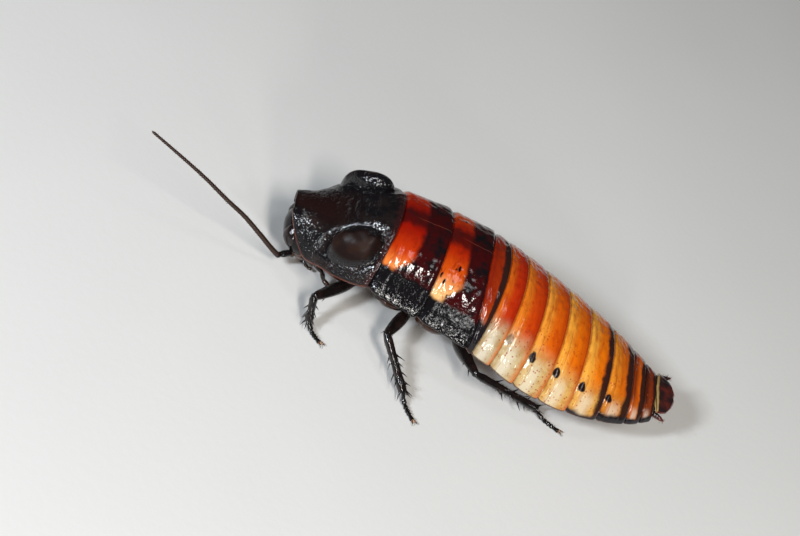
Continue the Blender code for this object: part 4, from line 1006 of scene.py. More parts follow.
# Lines round a horn, by the distance from its middle, and along the pronotum's side.
HORN_TROUGH, HORN_COLLAR, HOOD_GROOVE = (-0.75, 1.08, 0.33), (0.16, 1.55, 0.16), (-0.16, 0.86, 0.05)
WRINKLE_DEPTH, WRINKLES_PER_MM = 0.07, 5.2
NOTCH_DEPTH = 0.25
HOOD_THICKNESS = 0.55
HOOD_RISE, HOOD_LIP_FALL = 0.12, 0.16
# Where each mark of the pronotum starts and where it is complete: aside from the midline, or
# from the front, or towards the rear.
WRINKLES_ASIDE, WRINKLES_FRONT, WRINKLES_REAR = (3.6, 1.4), (-36.5, -34.0), (-28.2, -30.0)
NOTCH_ASIDE, NOTCH_FRONT = (1.5, 0.2), (-40.2, -41.2)
GROOVE_FRONT, PITS_REAR, PITS_ASIDE = (-40.5, -38.5), (-26.7, -27.8), (0.25, 0.6)
COARSE_PIT, COARSE_PIT_SIZE, FINE_PIT, FINE_PIT_SIZE = 0.03, 1.1, 0.035, 0.5


def hood_height(x, y, q):
    """Upper face of the pronotum, with troughs round the horns, wrinkles and pits."""
    base, t = hood_base(x, y)
    away = horn_distance(x, y)
    around = (bump(away, HORN_TROUGH) + bump(away, HORN_COLLAR)) * (1 - t**4)
    groove = bump(np.abs(q), HOOD_GROOVE) * ease(y, *GROOVE_FRONT)
    points = stack(x, y, base)
    middle = ease(np.abs(x), *WRINKLES_ASIDE) * ease(y, *WRINKLES_FRONT) * ease(y, *WRINKLES_REAR)
    wrinkles = WRINKLE_DEPTH * np.sin(WRINKLES_PER_MM * y + 0.9 * ripple(points, 3.0, 5)) * middle
    rough = 0.25 + 0.75 * ease(np.abs(t), *PITS_ASIDE)
    pits = COARSE_PIT * ripple(points, COARSE_PIT_SIZE, 21) + FINE_PIT * ripple(points, FINE_PIT_SIZE, 22)
    pits = pits * rough * ease(y, *PITS_REAR)
    notch = -NOTCH_DEPTH * ease(np.abs(x), *NOTCH_ASIDE) * ease(y, *NOTCH_FRONT)
    return base + around + groove + (wrinkles + pits + notch) * (1 - t**6)


def hood_shape():
    """The pronotum, a hood over the head with an upturned front rim."""
    shape = Shape()
    s = np.concatenate([np.linspace(0, 0.94, HOOD_ROWS), [0.955, 0.97, 0.98, 0.99, 1.0]])[:, None]
    q = section_steps(HOOD_COLUMNS)[None, :]
    t = np.sin(np.clip(q, -1, 1) * math.pi / 2)
    middle = HOOD_FRONT + (HOOD_REAR - HOOD_FRONT) * s
    half_width, edge, crown = hood_section(middle)[:3]
    y = middle + profile(HOOD, middle, SWEEP) * t**2
    roll_x, roll_z = arched_section(q, half_width, edge, crown)
    high = hood_height(half_width * t, middle + 0 * t, q)
    lift = HOOD_RISE * ease(s, 0.9, 0.955) - HOOD_LIP_FALL * ease(s, 0.97, 1.0)
    z = np.where(np.abs(q) > 1, roll_z, high) + lift * (np.abs(q) < 1)
    upper = stack(np.where(np.abs(q) > 1, roll_x, half_width * t), y, z)
    lower_x, lower_z = arched_section(q, half_width, edge, crown, HOOD_THICKNESS, 0.7)
    lower = stack(lower_x, y, np.minimum(lower_z, z - 0.12 * (np.abs(q) <= 1)))
    near_horn = ease(horn_distance(half_width * t, y), 1.05, 0.8)
    shape.solid(turn_left(upper), turn_left(lower), stack(s, q, near_horn))
    return shape


HORN_DENT, HORN_DENT_SIZE, HORN_GRAIN, HORN_GRAIN_SIZE = 0.05, 2.2, 0.01, 0.9


def horn_shape(side):
    """A blunt horn, steep in front, its skirt sunk in the trough round it."""
    shape = Shape()
    share = np.concatenate([np.sin(np.linspace(0.02, math.pi / 2, HORN_ROWS)), [1.04, 1.1]])[:, None]
    turn = np.linspace(0, 2 * math.pi, HORN_SIDES, endpoint=False)[None, :]
    x = side * HORN_X + HORN_HALF_WIDTH * share * np.cos(turn)
    y = HORN_Y + HORN_HALF_LENGTH * share * np.sin(turn)
    steepness = HORN_ROUNDNESS + HORN_STEEP_FRONT * np.maximum(-np.sin(turn), 0)
    lean = 1 - HORN_LEAN * share * np.sin(turn)
    dome = HORN_HEIGHT * lean * np.sqrt(np.clip(1 - share**steepness, 0, 1))
    base = hood_base(x, y)[0] + bump(share, HORN_TROUGH)
    points = turn_left(stack(x, y, base + dome)) - stack(0, HORN_TILT * dome, 0)
    fade = np.clip(1 - share**4, 0, 1)
    dents = HORN_DENT * ripple(points, HORN_DENT_SIZE, 31 + side)
    grain = HORN_GRAIN * ripple(points, HORN_GRAIN_SIZE, 33 + side)
    points[..., 2] += (dents + grain) * fade
    points[..., 2] += 0.08 + 0.2 * np.sqrt(fade) - 0.4 * np.clip(share - 0.99, 0, 1) / 0.11
    rings = np.concatenate([points, points[-1:] - (0, 0, 0.4)])
    lie = stack(share, -side * np.cos(turn), np.sin(turn))
    shape.tube(rings, np.concatenate([lie, lie[-1:]]))
    return shape


# Folds in the head: depth, place and width.
UPPER_LIP_SEAM, LOWER_LIP_SEAM = (-0.07, 0.285, 0.012), (-0.06, 0.14, 0.012)
CHEEK_FOLD, BROW_FOLD = (-0.10, 0.55, 0.03), (-0.06, 0.36, 0.02)
# The eye's middle and reach round the head in degrees, its height and half height, and its bulge.
EYE_ANGLE, EYE_REACH, EYE_HEIGHT, EYE_HALF_HEIGHT, EYE_BULGE = 34, 25, 6.1, 1.9, 0.62


def head_point(angle, height, growth=0.0):
    """Point on the head. The angle turns from the left side towards the front."""
    middle, half_width, half_depth = (profile(HEAD, height, column) for column in (1, 2, 3))
    y = middle - (half_depth + growth) * np.sin(angle)
    return stack((half_width + growth) * np.cos(angle), y, height)


def head_shape():
    """The head capsule, with the seam over the upper lip and the cheeks' folds."""
    shape = Shape()
    share = 0.5 - 0.5 * np.cos(math.pi * np.linspace(0, 1, HEAD_ROWS))[:, None]
    height = HEAD[0, 0] + (HEAD[-1, 0] - HEAD[0, 0]) * share
    angle = np.linspace(0, 2 * math.pi, HEAD_SIDES, endpoint=False)[None, :]
    front = np.clip(np.sin(angle), 0, 1)
    cheeks = bump(np.cos(angle) ** 2, CHEEK_FOLD) * ease(share, 0.35, 0.2)
    brow = bump(share - 0.1 * np.cos(angle) ** 2, BROW_FOLD)
    folds = bump(share, UPPER_LIP_SEAM) + bump(share, LOWER_LIP_SEAM) + cheeks + brow
    points = head_point(angle, height, folds * front)
    points += 0.015 * ripple(points, 1.2, 41)[..., None]
    shape.tube(turn_left(points), stack(share, angle / math.pi, 0.0))
    return shape


def eye_shape(side):
    """A kidney-shaped eye that wraps the side of the head."""
    shape = Shape()
    share = np.concatenate([[0.02], np.linspace(0.1, 1, EYE_ROWS)])[:, None]
    turn = np.linspace(0, 2 * math.pi, EYE_SIDES, endpoint=False)[None, :]
    notch = 1 - 0.22 * sum(bell(turn, math.pi * place, 0.6) for place in (0.08, 2.08))
    angle = np.radians(EYE_ANGLE + EYE_REACH * share * notch * np.cos(turn))
    height = EYE_HEIGHT + EYE_HALF_HEIGHT * share * np.sin(turn)
    bulge = 0.02 + EYE_BULGE * np.sqrt(np.clip(1 - share**2, 0, 1))
    points = head_point(angle, height, bulge)
    inner = head_point(angle[-1:], height[-1:], -0.2)
    rings = np.concatenate([points, inner])
    rings[..., 0] *= side
    shape.tube(turn_left(rings))
    return shape


def ring_shape(centre, axis):
    """The swollen socket ring of a feeler."""
    shape = Shape()
    path = centre + np.outer((-0.25, -0.12, 0.0, 0.1, 0.16), unit(axis))
    size = SOCKET_RADIUS + SOCKET_THICKNESS * np.array((0.3, 0.9, 1.0, 0.7, 0.1))
    shape.rod(path, size, SOCKET_SIDES, (0.2, 0.1, 1))
    return shape


# A feeler's whip: swollen rings to a millimetre, points to a ring, half width at both ends.
WHIP_RINGS_PER_MM, RING_STEPS = 2.6, 6
WHIP_ROOT_RADIUS, WHIP_TIP_RADIUS = 0.42, 0.2
WHIP_SPLITS = (0.0, 0.36, 0.68, 1.0)
FINE_STEPS = 1199


def split_stretch(path, low, high, count):
    """Evenly spaced points between two shares of a path."""
    whole = resample(path, FINE_STEPS + 1)
    return resample(whole[int(low * FINE_STEPS):int(high * FINE_STEPS) + 1], count)


def whip_shape(path, low, high):
    """A length of the whip: hundreds of short swollen rings with hairs between."""
    shape = Shape()
    rings = max(8, int((high - low) * distances(path)[-1] * WHIP_RINGS_PER_MM))
    count = rings * RING_STEPS + 1
    centre = split_stretch(path, low, high, count)
    share = np.linspace(low, high, count)
    swell = np.sin(math.pi * (np.arange(count) % RING_STEPS) / RING_STEPS) ** 0.6
    radius = WHIP_ROOT_RADIUS + (WHIP_TIP_RADIUS - WHIP_ROOT_RADIUS) * share
    radius = radius * (0.86 + 0.16 * swell) * (1 - 0.45 * ease(share, 0.985, 1.0))
    lie = stack(share[:, None], np.linspace(0, 1, WHIP_SIDES)[None, :], swell[:, None])
    shape.tube(sweep(centre, radius, radius, WHIP_SIDES), lie)
    draw = np.random.default_rng(SEED + int(low * 100))
    for k in range(RING_STEPS // 2, count - 1, RING_STEPS):
        tangent = unit(centre[k + 1] - centre[k - 1])
        for _ in range(RING_HAIRS):
            out = draw.normal(size=3)
            out = unit(out - tangent * (out @ tangent))
            root = centre[k] + HAIR_ROOT * radius[k] * out
            tip = centre[k] + (radius[k] + RING_HAIR_REACH) * out + RING_HAIR_LEAN * tangent
            add_hair(shape, root, tip, tangent)
    return shape


# A feeler's stout root: places along it and half widths there, and the ring round its foot.
SCAPE_PLACES = (0.0, 0.25, 0.45, 0.7, 0.8, 0.84, 0.9, 1.0, 1.06, 1.1)
SCAPE_RADII = (0.40, 0.44, 0.52, 0.55, 0.46, 0.38, 0.46, 0.48, 0.38, 0.2)
SOCKET_PLACE, SOCKET_RADIUS, SOCKET_THICKNESS = 0.28, 0.55, 0.22


def scape_shape(start, end):
    """The stout first joints of a feeler."""
    shape = Shape()
    start, end = np.array(start, float), np.array(end, float)
    shape.rod(start + np.outer(SCAPE_PLACES, end - start), SCAPE_RADII, SCAPE_SIDES)
    return shape


def build_feeler(side, points, materials):
    """One antenna with its socket."""
    scape = scape_shape(points[0], points[1])
    place_piece(scape, f"feeler_{side}_root", materials["leg"], [f"antenna_{side}_root"])
    way = np.array(points[1]) - np.array(points[0])
    socket = ring_shape(np.array(points[0]) + way * SOCKET_PLACE, way)
    place_piece(socket, f"feeler_{side}_socket", materials["coxa"])
    path = smooth_path(points[1:], 24)
    for number, (low, high) in enumerate(zip(WHIP_SPLITS, WHIP_SPLITS[1:]), 1):
        place_piece(whip_shape(path, low, high), f"feeler_{side}_whip_{number}", materials["feeler"],
                    [f"antenna_{side}_length_{number}"])


def palp_shape(points):
    """A jointed feeding palp."""
    shape = Shape()
    path = smooth_path(points, 12)
    path = resample(path, PALP_ROWS)
    phase = (np.linspace(0, 1, PALP_ROWS) * PALP_JOINTS) % 1.0
    radius = PALP_RADIUS + PALP_SWELLING * np.sin(math.pi * phase) ** 0.5
    radius[-3:] *= (0.8, 0.55, 0.2)
    shape.rod(path, radius, PALP_SIDES)
    return shape


def mouth_shape():
    """Upper lip and the short lower palps."""
    shape = Shape()
    for side in (-1, 1):
        path = smooth_path([(side * x, y, z) for x, y, z in LOWER_PALP], 8)
        size = 0.2 + 0.07 * np.sin(np.linspace(0, 3 * math.pi, len(path))) ** 2
        size[-1] = 0.08
        shape.rod(path, size, 12)
    lip = smooth_path(UPPER_LIP, 6)
    width = LIP_HALF_WIDTH * np.sqrt(np.clip(1 - (np.linspace(0, 1, len(lip)) * 0.92) ** 3, 0.02, 1))
    shape.tube(sweep(lip, width, np.full(len(lip), LIP_HALF_THICKNESS), 24, up=(0, -1, 0.1)))
    return shape


# The thorax's underside keeps within this share of the back's width, and this far below it.
CORE_SHARE, CORE_GAP = 0.78, 0.3
CORE_EDGE_DROP, CORE_CROWN_DROP = 0.7, 1.0


def core_shape(front, rear, table, hood, seed):
    """Underside of one thorax segment."""
    shape = Shape()
    s = np.linspace(0, 1, CORE_ROWS)[:, None]
    t = np.linspace(-1, 1, CORE_COLUMNS)[None, :]
    y = front + (rear - front) * s
    half_width = profile(table, y, HALF_WIDTH) * CORE_SHARE
    edge = profile(table, y, EDGE)
    crown = profile(table, y, CROWN)
    rounding = (1 - (t * CORE_SHARE) ** 2) ** 0.85
    high = edge - CORE_EDGE_DROP + (crown - CORE_CROWN_DROP - edge) * rounding - CORE_GAP
    if hood:
        high = high - CORE_GAP
    low = profile(TRUNK, y, BELLY) + BELLY_CURVE * t * t
    low = np.minimum(low, high - 0.8)
    ends = ease(s, 0.12, 0.0) + ease(s, 0.88, 1.0)
    plates = 0.18 * bell(np.abs(t), 0.28, 0.05) + 0.22 * ends
    bottom = stack(half_width * t, y, low + plates)
    bottom[..., 2] += 0.05 * ripple(bottom, 1.8, seed)
    top = stack(half_width * t, y, high)
    if hood:
        top, bottom = turn_left(top), turn_left(bottom)
    shape.solid(top, bottom, stack(s, t, 0.0))
    return shape


# Weights that smooth a limb's half widths along it.
SMOOTHING = np.array((1, 2, 3, 2, 1)) / 9


def limb(path, widths, heights, count, sides, up=(0, 0, 1), squareness=0.0):
    """A smooth limb through a few named stations."""
    path = resample(smooth_path(path, 12), count)
    share = np.linspace(0, 1, count)
    stations = np.linspace(0, 1, len(widths))
    width = np.interp(share, stations, widths)
    height = np.interp(share, stations, heights)
    width = np.convolve(np.pad(width, 2, mode="edge"), SMOOTHING, "valid")
    height = np.convolve(np.pad(height, 2, mode="edge"), SMOOTHING, "valid")
    return sweep(path, width, height, sides, up, squareness)


# Places of a limb's stations, and its half widths and half heights from root to end. Those of
# the tibia are shares of its radius.
STATIONS = (0.02, 0.3, 0.65, 1.0)
COXA_SQUARENESS, FEMUR_SQUARENESS, TIBIA_SQUARENESS = 0.04, 0.05, 0.06
COXA_GAP, BELLY_HALF_WIDTH = 0.02, 8.6
COXA_WIDTHS = (1.3, 2.1, 2.2, 2.0, 1.6, 1.1, 0.8)
COXA_HEIGHTS = (0.8, 1.25, 1.4, 1.3, 1.1, 0.85, 0.6)
FEMUR_WIDTHS = (0.6, 0.65, 0.85, 0.95, 0.97, 0.94, 0.86, 0.76, 0.55)
TIBIA_STATIONS = (-0.03, 0.3, 0.65, 1.0)
TIBIA_WIDTHS = np.array((0.7, 1.02, 0.95, 0.9, 0.88, 0.9, 0.95, 1.1, 0.9))
TIBIA_HEIGHTS = np.array((0.7, 1.05, 1.0, 0.95, 0.92, 0.92, 0.98, 1.1, 0.9))
TROCHANTER_PLACES = (-0.03, 0.0, 0.04, 0.08, 0.11)
TROCHANTER_RADII = (0.35, 0.62, 0.74, 0.66, 0.4)
TROCHANTER_DROP = 0.6
FEMUR_SPINES, FEMUR_SPINE_LENGTH, FEMUR_SPINE_RADIUS = 5, 0.75, 0.13
ROW_SPINES, CROWN_SPINES, TIBIA_SPINE_RADIUS = 3, 5, 0.17
SPINE_FLOOR_GAP = 0.3
SHIN_HAIRS_PER_MM, SHIN_HAIR_LENGTH = 10, 0.35
# Shares of the foot's length where its five joints meet, and the sizes of its pads and claws.
FOOT_BORDERS = (0.0, 0.36, 0.52, 0.66, 0.78, 1.0)
FOOT_POINTS = 121
FOOT_LIFT, FOOT_LEAST_HEIGHT = 0.06, 0.03
PAD_HALF_WIDTH, PAD_HALF_HEIGHT, PAD_SHARE, PAD_PLACE = 0.34, 0.27, 0.55, 0.72
END_PAD_HALF_WIDTH, END_PAD_HALF_HEIGHT, END_PAD_LIFT = 0.27, 0.2, 0.12
CLAW_LENGTH, CLAW_SPREAD, CLAW_RADIUS, CLAW_POINT = 0.95, 0.42, 0.13, 0.012


def between(start, end, shares):
    """Points at shares of the way from one point to another."""
    return np.array([start + (end - start) * share for share in shares])


def coxa_shape(hip, trochanter):
    """The broad root of a leg, kept below the plates that it lies against."""
    shape = Shape()
    path = between(hip, trochanter, STATIONS)
    rings = limb(path, COXA_WIDTHS, COXA_HEIGHTS, COXA_ROWS, COXA_SIDES, squareness=COXA_SQUARENESS)
    curve = BELLY_CURVE * (rings[..., 0] / BELLY_HALF_WIDTH) ** 2
    roof = profile(TRUNK, rings[..., 1], BELLY) + curve - COXA_GAP
    rings[..., 2] = np.minimum(rings[..., 2], roof)
    shape.tube(rings)
    return shape


def femur_shape(kind, start, knee):
    """Thigh and trochanter, with two rows of short spines below the knee's end."""
    shape = Shape()
    deep = FEMUR_HALF_DEPTH[kind]
    heights = (0.6, 0.6, deep * 0.9, deep, deep * 0.98, deep * 0.85, 0.7, 0.72, 0.55)
    path = between(start, knee, STATIONS)
    shape.tube(limb(path, FEMUR_WIDTHS, heights, FEMUR_ROWS, FEMUR_SIDES, squareness=FEMUR_SQUARENESS))
    shape.rod(between(start, knee, TROCHANTER_PLACES), TROCHANTER_RADII, TROCHANTER_SIDES)
    axis = unit(knee - start)
    aside = unit(np.cross(axis, (0, 0, 1)))
    for number, share in enumerate(np.linspace(0.55, 0.97, FEMUR_SPINES)):
        row = 1 if number % 2 else -1
        root = start + (knee - start) * share + aside * 0.45 * row - (0, 0, 0.45)
        way = axis * 0.8 + aside * 0.35 * row - (0, 0, 0.35)
        curved_spine(shape, root, way, axis, FEMUR_SPINE_LENGTH + 0.1 * number, FEMUR_SPINE_RADIUS)
    return shape


def shin_spines(shape, kind, knee, shin, outwards, draw):
    """Rows of long spines round a shin, and a crown of them at its end."""
    axis = unit(shin)
    rows = SPINE_ROWS[kind]
    for row in range(rows + 1):
        last = row == rows
        share = 0.98 if last else 0.25 + 0.62 * (row + 0.5) / rows
        count = CROWN_SPINES if last else ROW_SPINES
        turns = 2 * math.pi * np.arange(count) / count + 0.9 * row + draw.uniform(-0.2, 0.2)
        for turn in turns:
            out = outwards(turn)
            place = share + (0 if last else draw.uniform(-0.04, 0.04))
            root = knee + shin * place + out * TIBIA_RADIUS[kind] * 0.75
            way = out * 0.85 + axis * (0.95 if last else 0.75)
            size = draw.uniform(1.15, 1.6) * (0.8 if kind == "fore" else 1.0)
            if root[2] + unit(way)[2] * size < SPINE_FLOOR_GAP:
                way[2] = abs(way[2]) * 0.4
            curved_spine(shape, root, way, axis, size, TIBIA_SPINE_RADIUS)


def tibia_shape(kind, side, knee, ankle, draw):
    """Shin with its spines and fine hairs."""
    shape = Shape()
    radius = TIBIA_RADIUS[kind]
    shin = ankle - knee
    axis = unit(shin)
    up = np.array((1.0 if side == "left" else -1.0, 0.0, 0.2))
    path = between(knee, ankle, TIBIA_STATIONS)
    widths, heights = TIBIA_WIDTHS * radius, TIBIA_HEIGHTS * radius
    shape.tube(limb(path, widths, heights, TIBIA_ROWS, TIBIA_SIDES, up, TIBIA_SQUARENESS))
    rise = unit(up - axis * (up @ axis))
    third = np.cross(axis, rise)

    def outwards(turn):
        """Direction away from the shin, at a turn round it."""
        return rise * math.cos(turn) + third * math.sin(turn)

    shin_spines(shape, kind, knee, shin, outwards, draw)
    for _ in range(int(SHIN_HAIRS_PER_MM * np.linalg.norm(shin))):
        out = outwards(draw.uniform(0, 2 * math.pi))
        root = knee + shin * draw.uniform(0.1, 0.97) + out * radius * 0.9
        add_hair(shape, root, root + SHIN_HAIR_LENGTH * (out * 0.7 + axis * 0.7), third, SHIN_HAIR_RADIUS)
    return shape


def add_pad(shape, line, half_width, half_height):
    """A soft pad along a line, flat where it rests on the floor."""
    swell = np.sqrt(np.clip(1 - np.linspace(-1, 1, len(line)) ** 2, 0.03, 1))
    rings = sweep(line, half_width * swell, half_height * swell, PAD_SIDES)
    rings[..., 2] = np.maximum(rings[..., 2], 0.0)
    shape.tube(rings)


def foot_shapes(ankle, toe):
    """Five foot joints, the pads under them and the two claws."""
    foot, pads, claws = Shape(), Shape(), Shape()
    share = np.linspace(0, 1, FOOT_POINTS)
    path = ankle + np.outer(share, toe - ankle)
    path[:, 2] = toe[2] + (ankle[2] - toe[2]) * (1 - share) ** 4
    heading = unit((toe - ankle) * (1, 1, 0))
    last = len(FOOT_BORDERS) - 2
    for number, (low, high) in enumerate(zip(FOOT_BORDERS, FOOT_BORDERS[1:])):
        part = path[int(low * (FOOT_POINTS - 1)):int(high * (FOOT_POINTS - 1)) + 1]
        u = np.linspace(0, 1, len(part))
        radius = TARSUS_RADIUS * (0.58 + 0.42 * u**1.5) * (1 - 0.35 * ease(u, 0.9, 1.0))
        if number == last:
            radius = TARSUS_RADIUS * (0.5 + 0.35 * u)
        rings = sweep(part, radius, radius * 0.95, FOOT_SIDES)
        rings[..., 2] = np.maximum(rings[..., 2] + FOOT_LIFT, FOOT_LEAST_HEIGHT)
        foot.tube(rings)
        if number < last:
            reach = np.linalg.norm((part[-1] - part[0])[:2]) * PAD_SHARE
            middle = part[int(len(part) * PAD_PLACE)] - (0, 0, 0.02)
            line = middle + np.outer(np.linspace(-0.5, 0.5, 9) * reach, heading)
            add_pad(pads, line, PAD_HALF_WIDTH, PAD_HALF_HEIGHT)
    end = path[-1] + (0, 0, END_PAD_LIFT)
    line = end + np.outer(np.linspace(-0.1, 0.55, 9), heading)
    add_pad(pads, line, END_PAD_HALF_WIDTH, END_PAD_HALF_HEIGHT)
    aside = np.cross(heading, (0, 0, 1))
    u = np.linspace(0, 1, CLAW_ROWS)
    for side in (-1, 1):
        line = end + np.outer(u * CLAW_LENGTH, heading) + np.outer(side * (0.1 + CLAW_SPREAD * u), aside)
        line[:, 2] += 0.16 * np.sin(u * math.pi * 0.8) - 0.22 * u**2
        line[:, 2] = np.maximum(line[:, 2], 0.05)
        claws.rod(line, CLAW_RADIUS * (1 - u) ** 0.7 + CLAW_POINT, CLAW_SIDES)
    return foot, pads, claws


def build_leg(label, joints, materials, draw):
    """One leg: coxa, femur with its trochanter, spiny tibia, and foot with pads and claws."""
    kind, side = label.split("_")
    hip, trochanter, knee, ankle, toe = (np.array(joint, float) for joint in joints)
    foot, pads, claws = foot_shapes(ankle, toe)
    pieces = (
        ("coxa", coxa_shape(hip, trochanter), "coxa", "coxa"),
        ("femur", femur_shape(kind, trochanter - (0, 0, TROCHANTER_DROP), knee), "leg", "femur"),
        ("tibia", tibia_shape(kind, side, knee, ankle, draw), "leg", "tibia"),
        ("foot", foot, "leg", "tarsus"),
        ("foot_pads", pads, "pad", "tarsus"),
        ("claws", claws, "claw", "tarsus"),
    )
    for name, shape, material, node in pieces:
        place_piece(shape, f"{name}_{label}", materials[material], [f"leg_{label}_{node}"])


TAIL_GAP, TAIL_HALF_WIDTH, TAIL_NARROWING = 0.1, 4.1, 0.8
TAIL_EDGE, TAIL_CROWN = 8.9, 10.0
# The last belly plate: front, length, half width in front, how much it narrows, and its top.
LAST_BELLY_FRONT, LAST_BELLY_LENGTH, LAST_BELLY_HALF_WIDTH, LAST_BELLY_NARROWING = 21.3, 4.8, 6.0, 3.2
LAST_BELLY_TOP, LAST_BELLY_RISE = 7.9, 1.4
STYLUS = ((2.0, 25.0, 7.0), (2.3, 25.9, 6.8), (2.4, 26.5, 6.7))
STYLUS_RADIUS = 0.16


def tail_plate_shape():
    """The supra-anal plate: squarish, with rounded corners and a shallow notch."""
    shape = Shape()
    front = ABDOMEN_REARS[-1] + TAIL_GAP
    s = np.concatenate([np.linspace(0, 0.9, TAIL_ROWS), [0.94, 0.97, 0.99, 1.0]])[:, None]
    q = np.linspace(-1, 1, TAIL_COLUMNS)[None, :]
    t = np.sin(q * math.pi / 2)
    y = front + (TAIL_END - front) * s + (0.9 - 2.0 * s) * t * t - 0.12 * s * bell(t, 0, 0.16)
    half_width = TAIL_HALF_WIDTH - TAIL_NARROWING * s * s
    edge = TAIL_EDGE - 0.1 * s - 0.1 * ease(s, 0.9, 1)
    crown = TAIL_CROWN - 0.4 * s - 0.35 * ease(s, 0.9, 1)
    upper = stack(half_width * t, y, edge + (crown - edge) * (1 - t * t) ** ARCH)
    upper[..., 2] += 0.04 * ripple(upper, 1.2, 61) * (1 - t**4) - 0.06 * bell(t, 0, 0.06)
    lower = stack(half_width * t, y, edge - 0.3 + (crown - 0.6 - edge) * (1 - t * t) ** ARCH)
    shape.solid(upper, lower, stack(s, q, 0.0))
    return shape


def genital_plate_shape():
    """The last belly plate, which reaches back under the tail plate, and its two styli."""
    shape = Shape()
    s = np.linspace(0, 1, LAST_BELLY_ROWS)[:, None]
    t = np.sin(np.linspace(-1, 1, BELLY_COLUMNS)[None, :] * math.pi / 2)
    y = LAST_BELLY_FRONT + LAST_BELLY_LENGTH * s + (0.9 - 2.0 * s) * t * t
    half_width = LAST_BELLY_HALF_WIDTH - LAST_BELLY_NARROWING * s
    top = LAST_BELLY_TOP - 0.1 * s + 0 * t
    edge = profile(TRUNK, y, EDGE) - 0.8
    low = edge + (profile(TRUNK, y, BELLY) - edge) * (1 - t * t) ** BELLY_ROUNDNESS
    low = np.minimum(low + LAST_BELLY_RISE * s**3, top - 0.25)
    shape.solid(stack(half_width * t, y, top), stack(half_width * t, y, low), stack(s, t, 0.0))
    for side in (-1, 1):
        line = smooth_path([(side * x, y, z) for x, y, z in STYLUS], 6)
        size = STYLUS_RADIUS * (1 - np.linspace(0, 1, len(line)) ** 2) + 0.02
        shape.rod(line, size, 10)
    return shape


def cercus_shape(ends, draw):
    """A short ringed tail feeler with stiff hairs."""
    shape = Shape()
    start, end = (np.array(point, float) for point in ends)
    share = np.linspace(0, 1, CERCUS_ROWS)
    path = start + np.outer(share, end - start)
    axis = unit(end - start)
    size = np.interp(share, CERCUS_PLACES, CERCUS_RADII)
    size = size * (0.92 + 0.1 * np.abs(np.sin(share * math.pi * CERCUS_RINGS)) ** 0.5)
    shape.rod(path, size, CERCUS_SIDES)
    for _ in range(CERCUS_HAIRS):
        share = draw.uniform(0.3, 0.98)
        out = np.array([draw.gauss(0, 1) for _ in range(3)])
        out = unit(out - axis * (out @ axis))
        middle = start + (end - start) * share
        radius = np.interp(share, CERCUS_PLACES, CERCUS_RADII)
        tip = middle + (radius + CERCUS_HAIR_REACH) * out + 0.25 * (end - start) / 4
        add_hair(shape, middle + radius * HAIR_ROOT * out, tip, axis)
    return shape


def neck_shape():
    """Folded skin between the head and the trunk."""
    shape = Shape()
    path = smooth_path(NECK, 16)
    folds = 1 + 0.06 * np.sin(np.linspace(0, NECK_FOLDS * math.pi, len(path)))
    shape.tube(sweep(path, NECK_HALF_WIDTH * folds, NECK_HALF_DEPTH * folds, 40))
    return shape


def build_head(materials):
    """Head, eyes, mouth and palps, neck and feelers."""
    place_piece(head_shape(), "head_capsule", materials["head"], ["head"])
    place_piece(mouth_shape(), "mouthparts", materials["coxa"], ["head"])
    place_piece(neck_shape(), "neck_skin", materials["skin"], ["neck"])
    for side, sign in SIDES:
        place_piece(eye_shape(sign), f"compound_eye_{side}", materials["eye"], [f"eye_{side}"])
        palp = palp_shape([(sign * x, y, z) for x, y, z in LEFT_PALP])
        place_piece(palp, f"feeding_palp_{side}", materials["coxa"], [f"palp_{side}"])
    build_feeler("left", LEFT_FEELER, materials)
    build_feeler("right", RIGHT_FEELER, materials)


def build_thorax(materials):
    """The pronotum with its horns, the two thorax plates and the three undersides."""
    place_piece(hood_shape(), "pronotum_shield", hood_material(), ["pronotum"])
    for side, sign in SIDES:
        place_piece(horn_shape(sign), f"horn_{side}", materials["horn"],
                    [f"pronotal_horn_{side}"])
    plates = (
        ("mesonotum", HOOD_REAR, MESONOTUM_REAR, 0.62),
        ("metanotum", MESONOTUM_REAR, METANOTUM_REAR, 0.5),
    )
    for number, (name, front, rear, drop) in enumerate(plates):
        plate = back_plate_shape(front, rear, THORAX_TUCK, THORAX_SEED + number, THORAX_ROWS,
                                 THORAX_THICKNESS, drop, THORAX_RELIEF)
        place_piece(plate, f"{name}_plate", thorax_material(name), [name])
    cores = (
        ("prothorax", PROTHORAX_FRONT, HOOD_REAR, HOOD, True),
        ("mesothorax", HOOD_REAR, MESONOTUM_REAR, TRUNK, False),
        ("metathorax", MESONOTUM_REAR, METANOTUM_REAR + 0.3, TRUNK, False),
    )
    for number, (name, front, rear, table, hood) in enumerate(cores):
        core = core_shape(front, rear, table, hood, CORE_SEED + number)
        place_piece(core, f"{name}_underside", materials["belly"], [name])


def build_abdomen(materials):
    """Nine rings, each with a back plate and a belly plate, and the tail plate."""
    fronts = (METANOTUM_REAR, *ABDOMEN_REARS)
    for number, (front, rear) in enumerate(zip(fronts, ABDOMEN_REARS), 1):
        tuck = PLATE_TUCK / (rear - front)
        node = f"abdomen_segment_{number}"
        plate = back_plate_shape(front, rear, tuck, PLATE_SEED + number, swell=PLATE_SWELL)
        place_piece(plate, f"back_plate_{number}", abdomen_material(number), [node])
        last = rear == ABDOMEN_REARS[-1]
        belly = genital_plate_shape() if last else belly_plate_shape(front, rear, BELLY_SEED + number)
        place_piece(belly, f"belly_plate_{number}", materials["belly"], [node])
    place_piece(tail_plate_shape(), "tail_plate", materials["tail"], ["supra_anal_plate"])


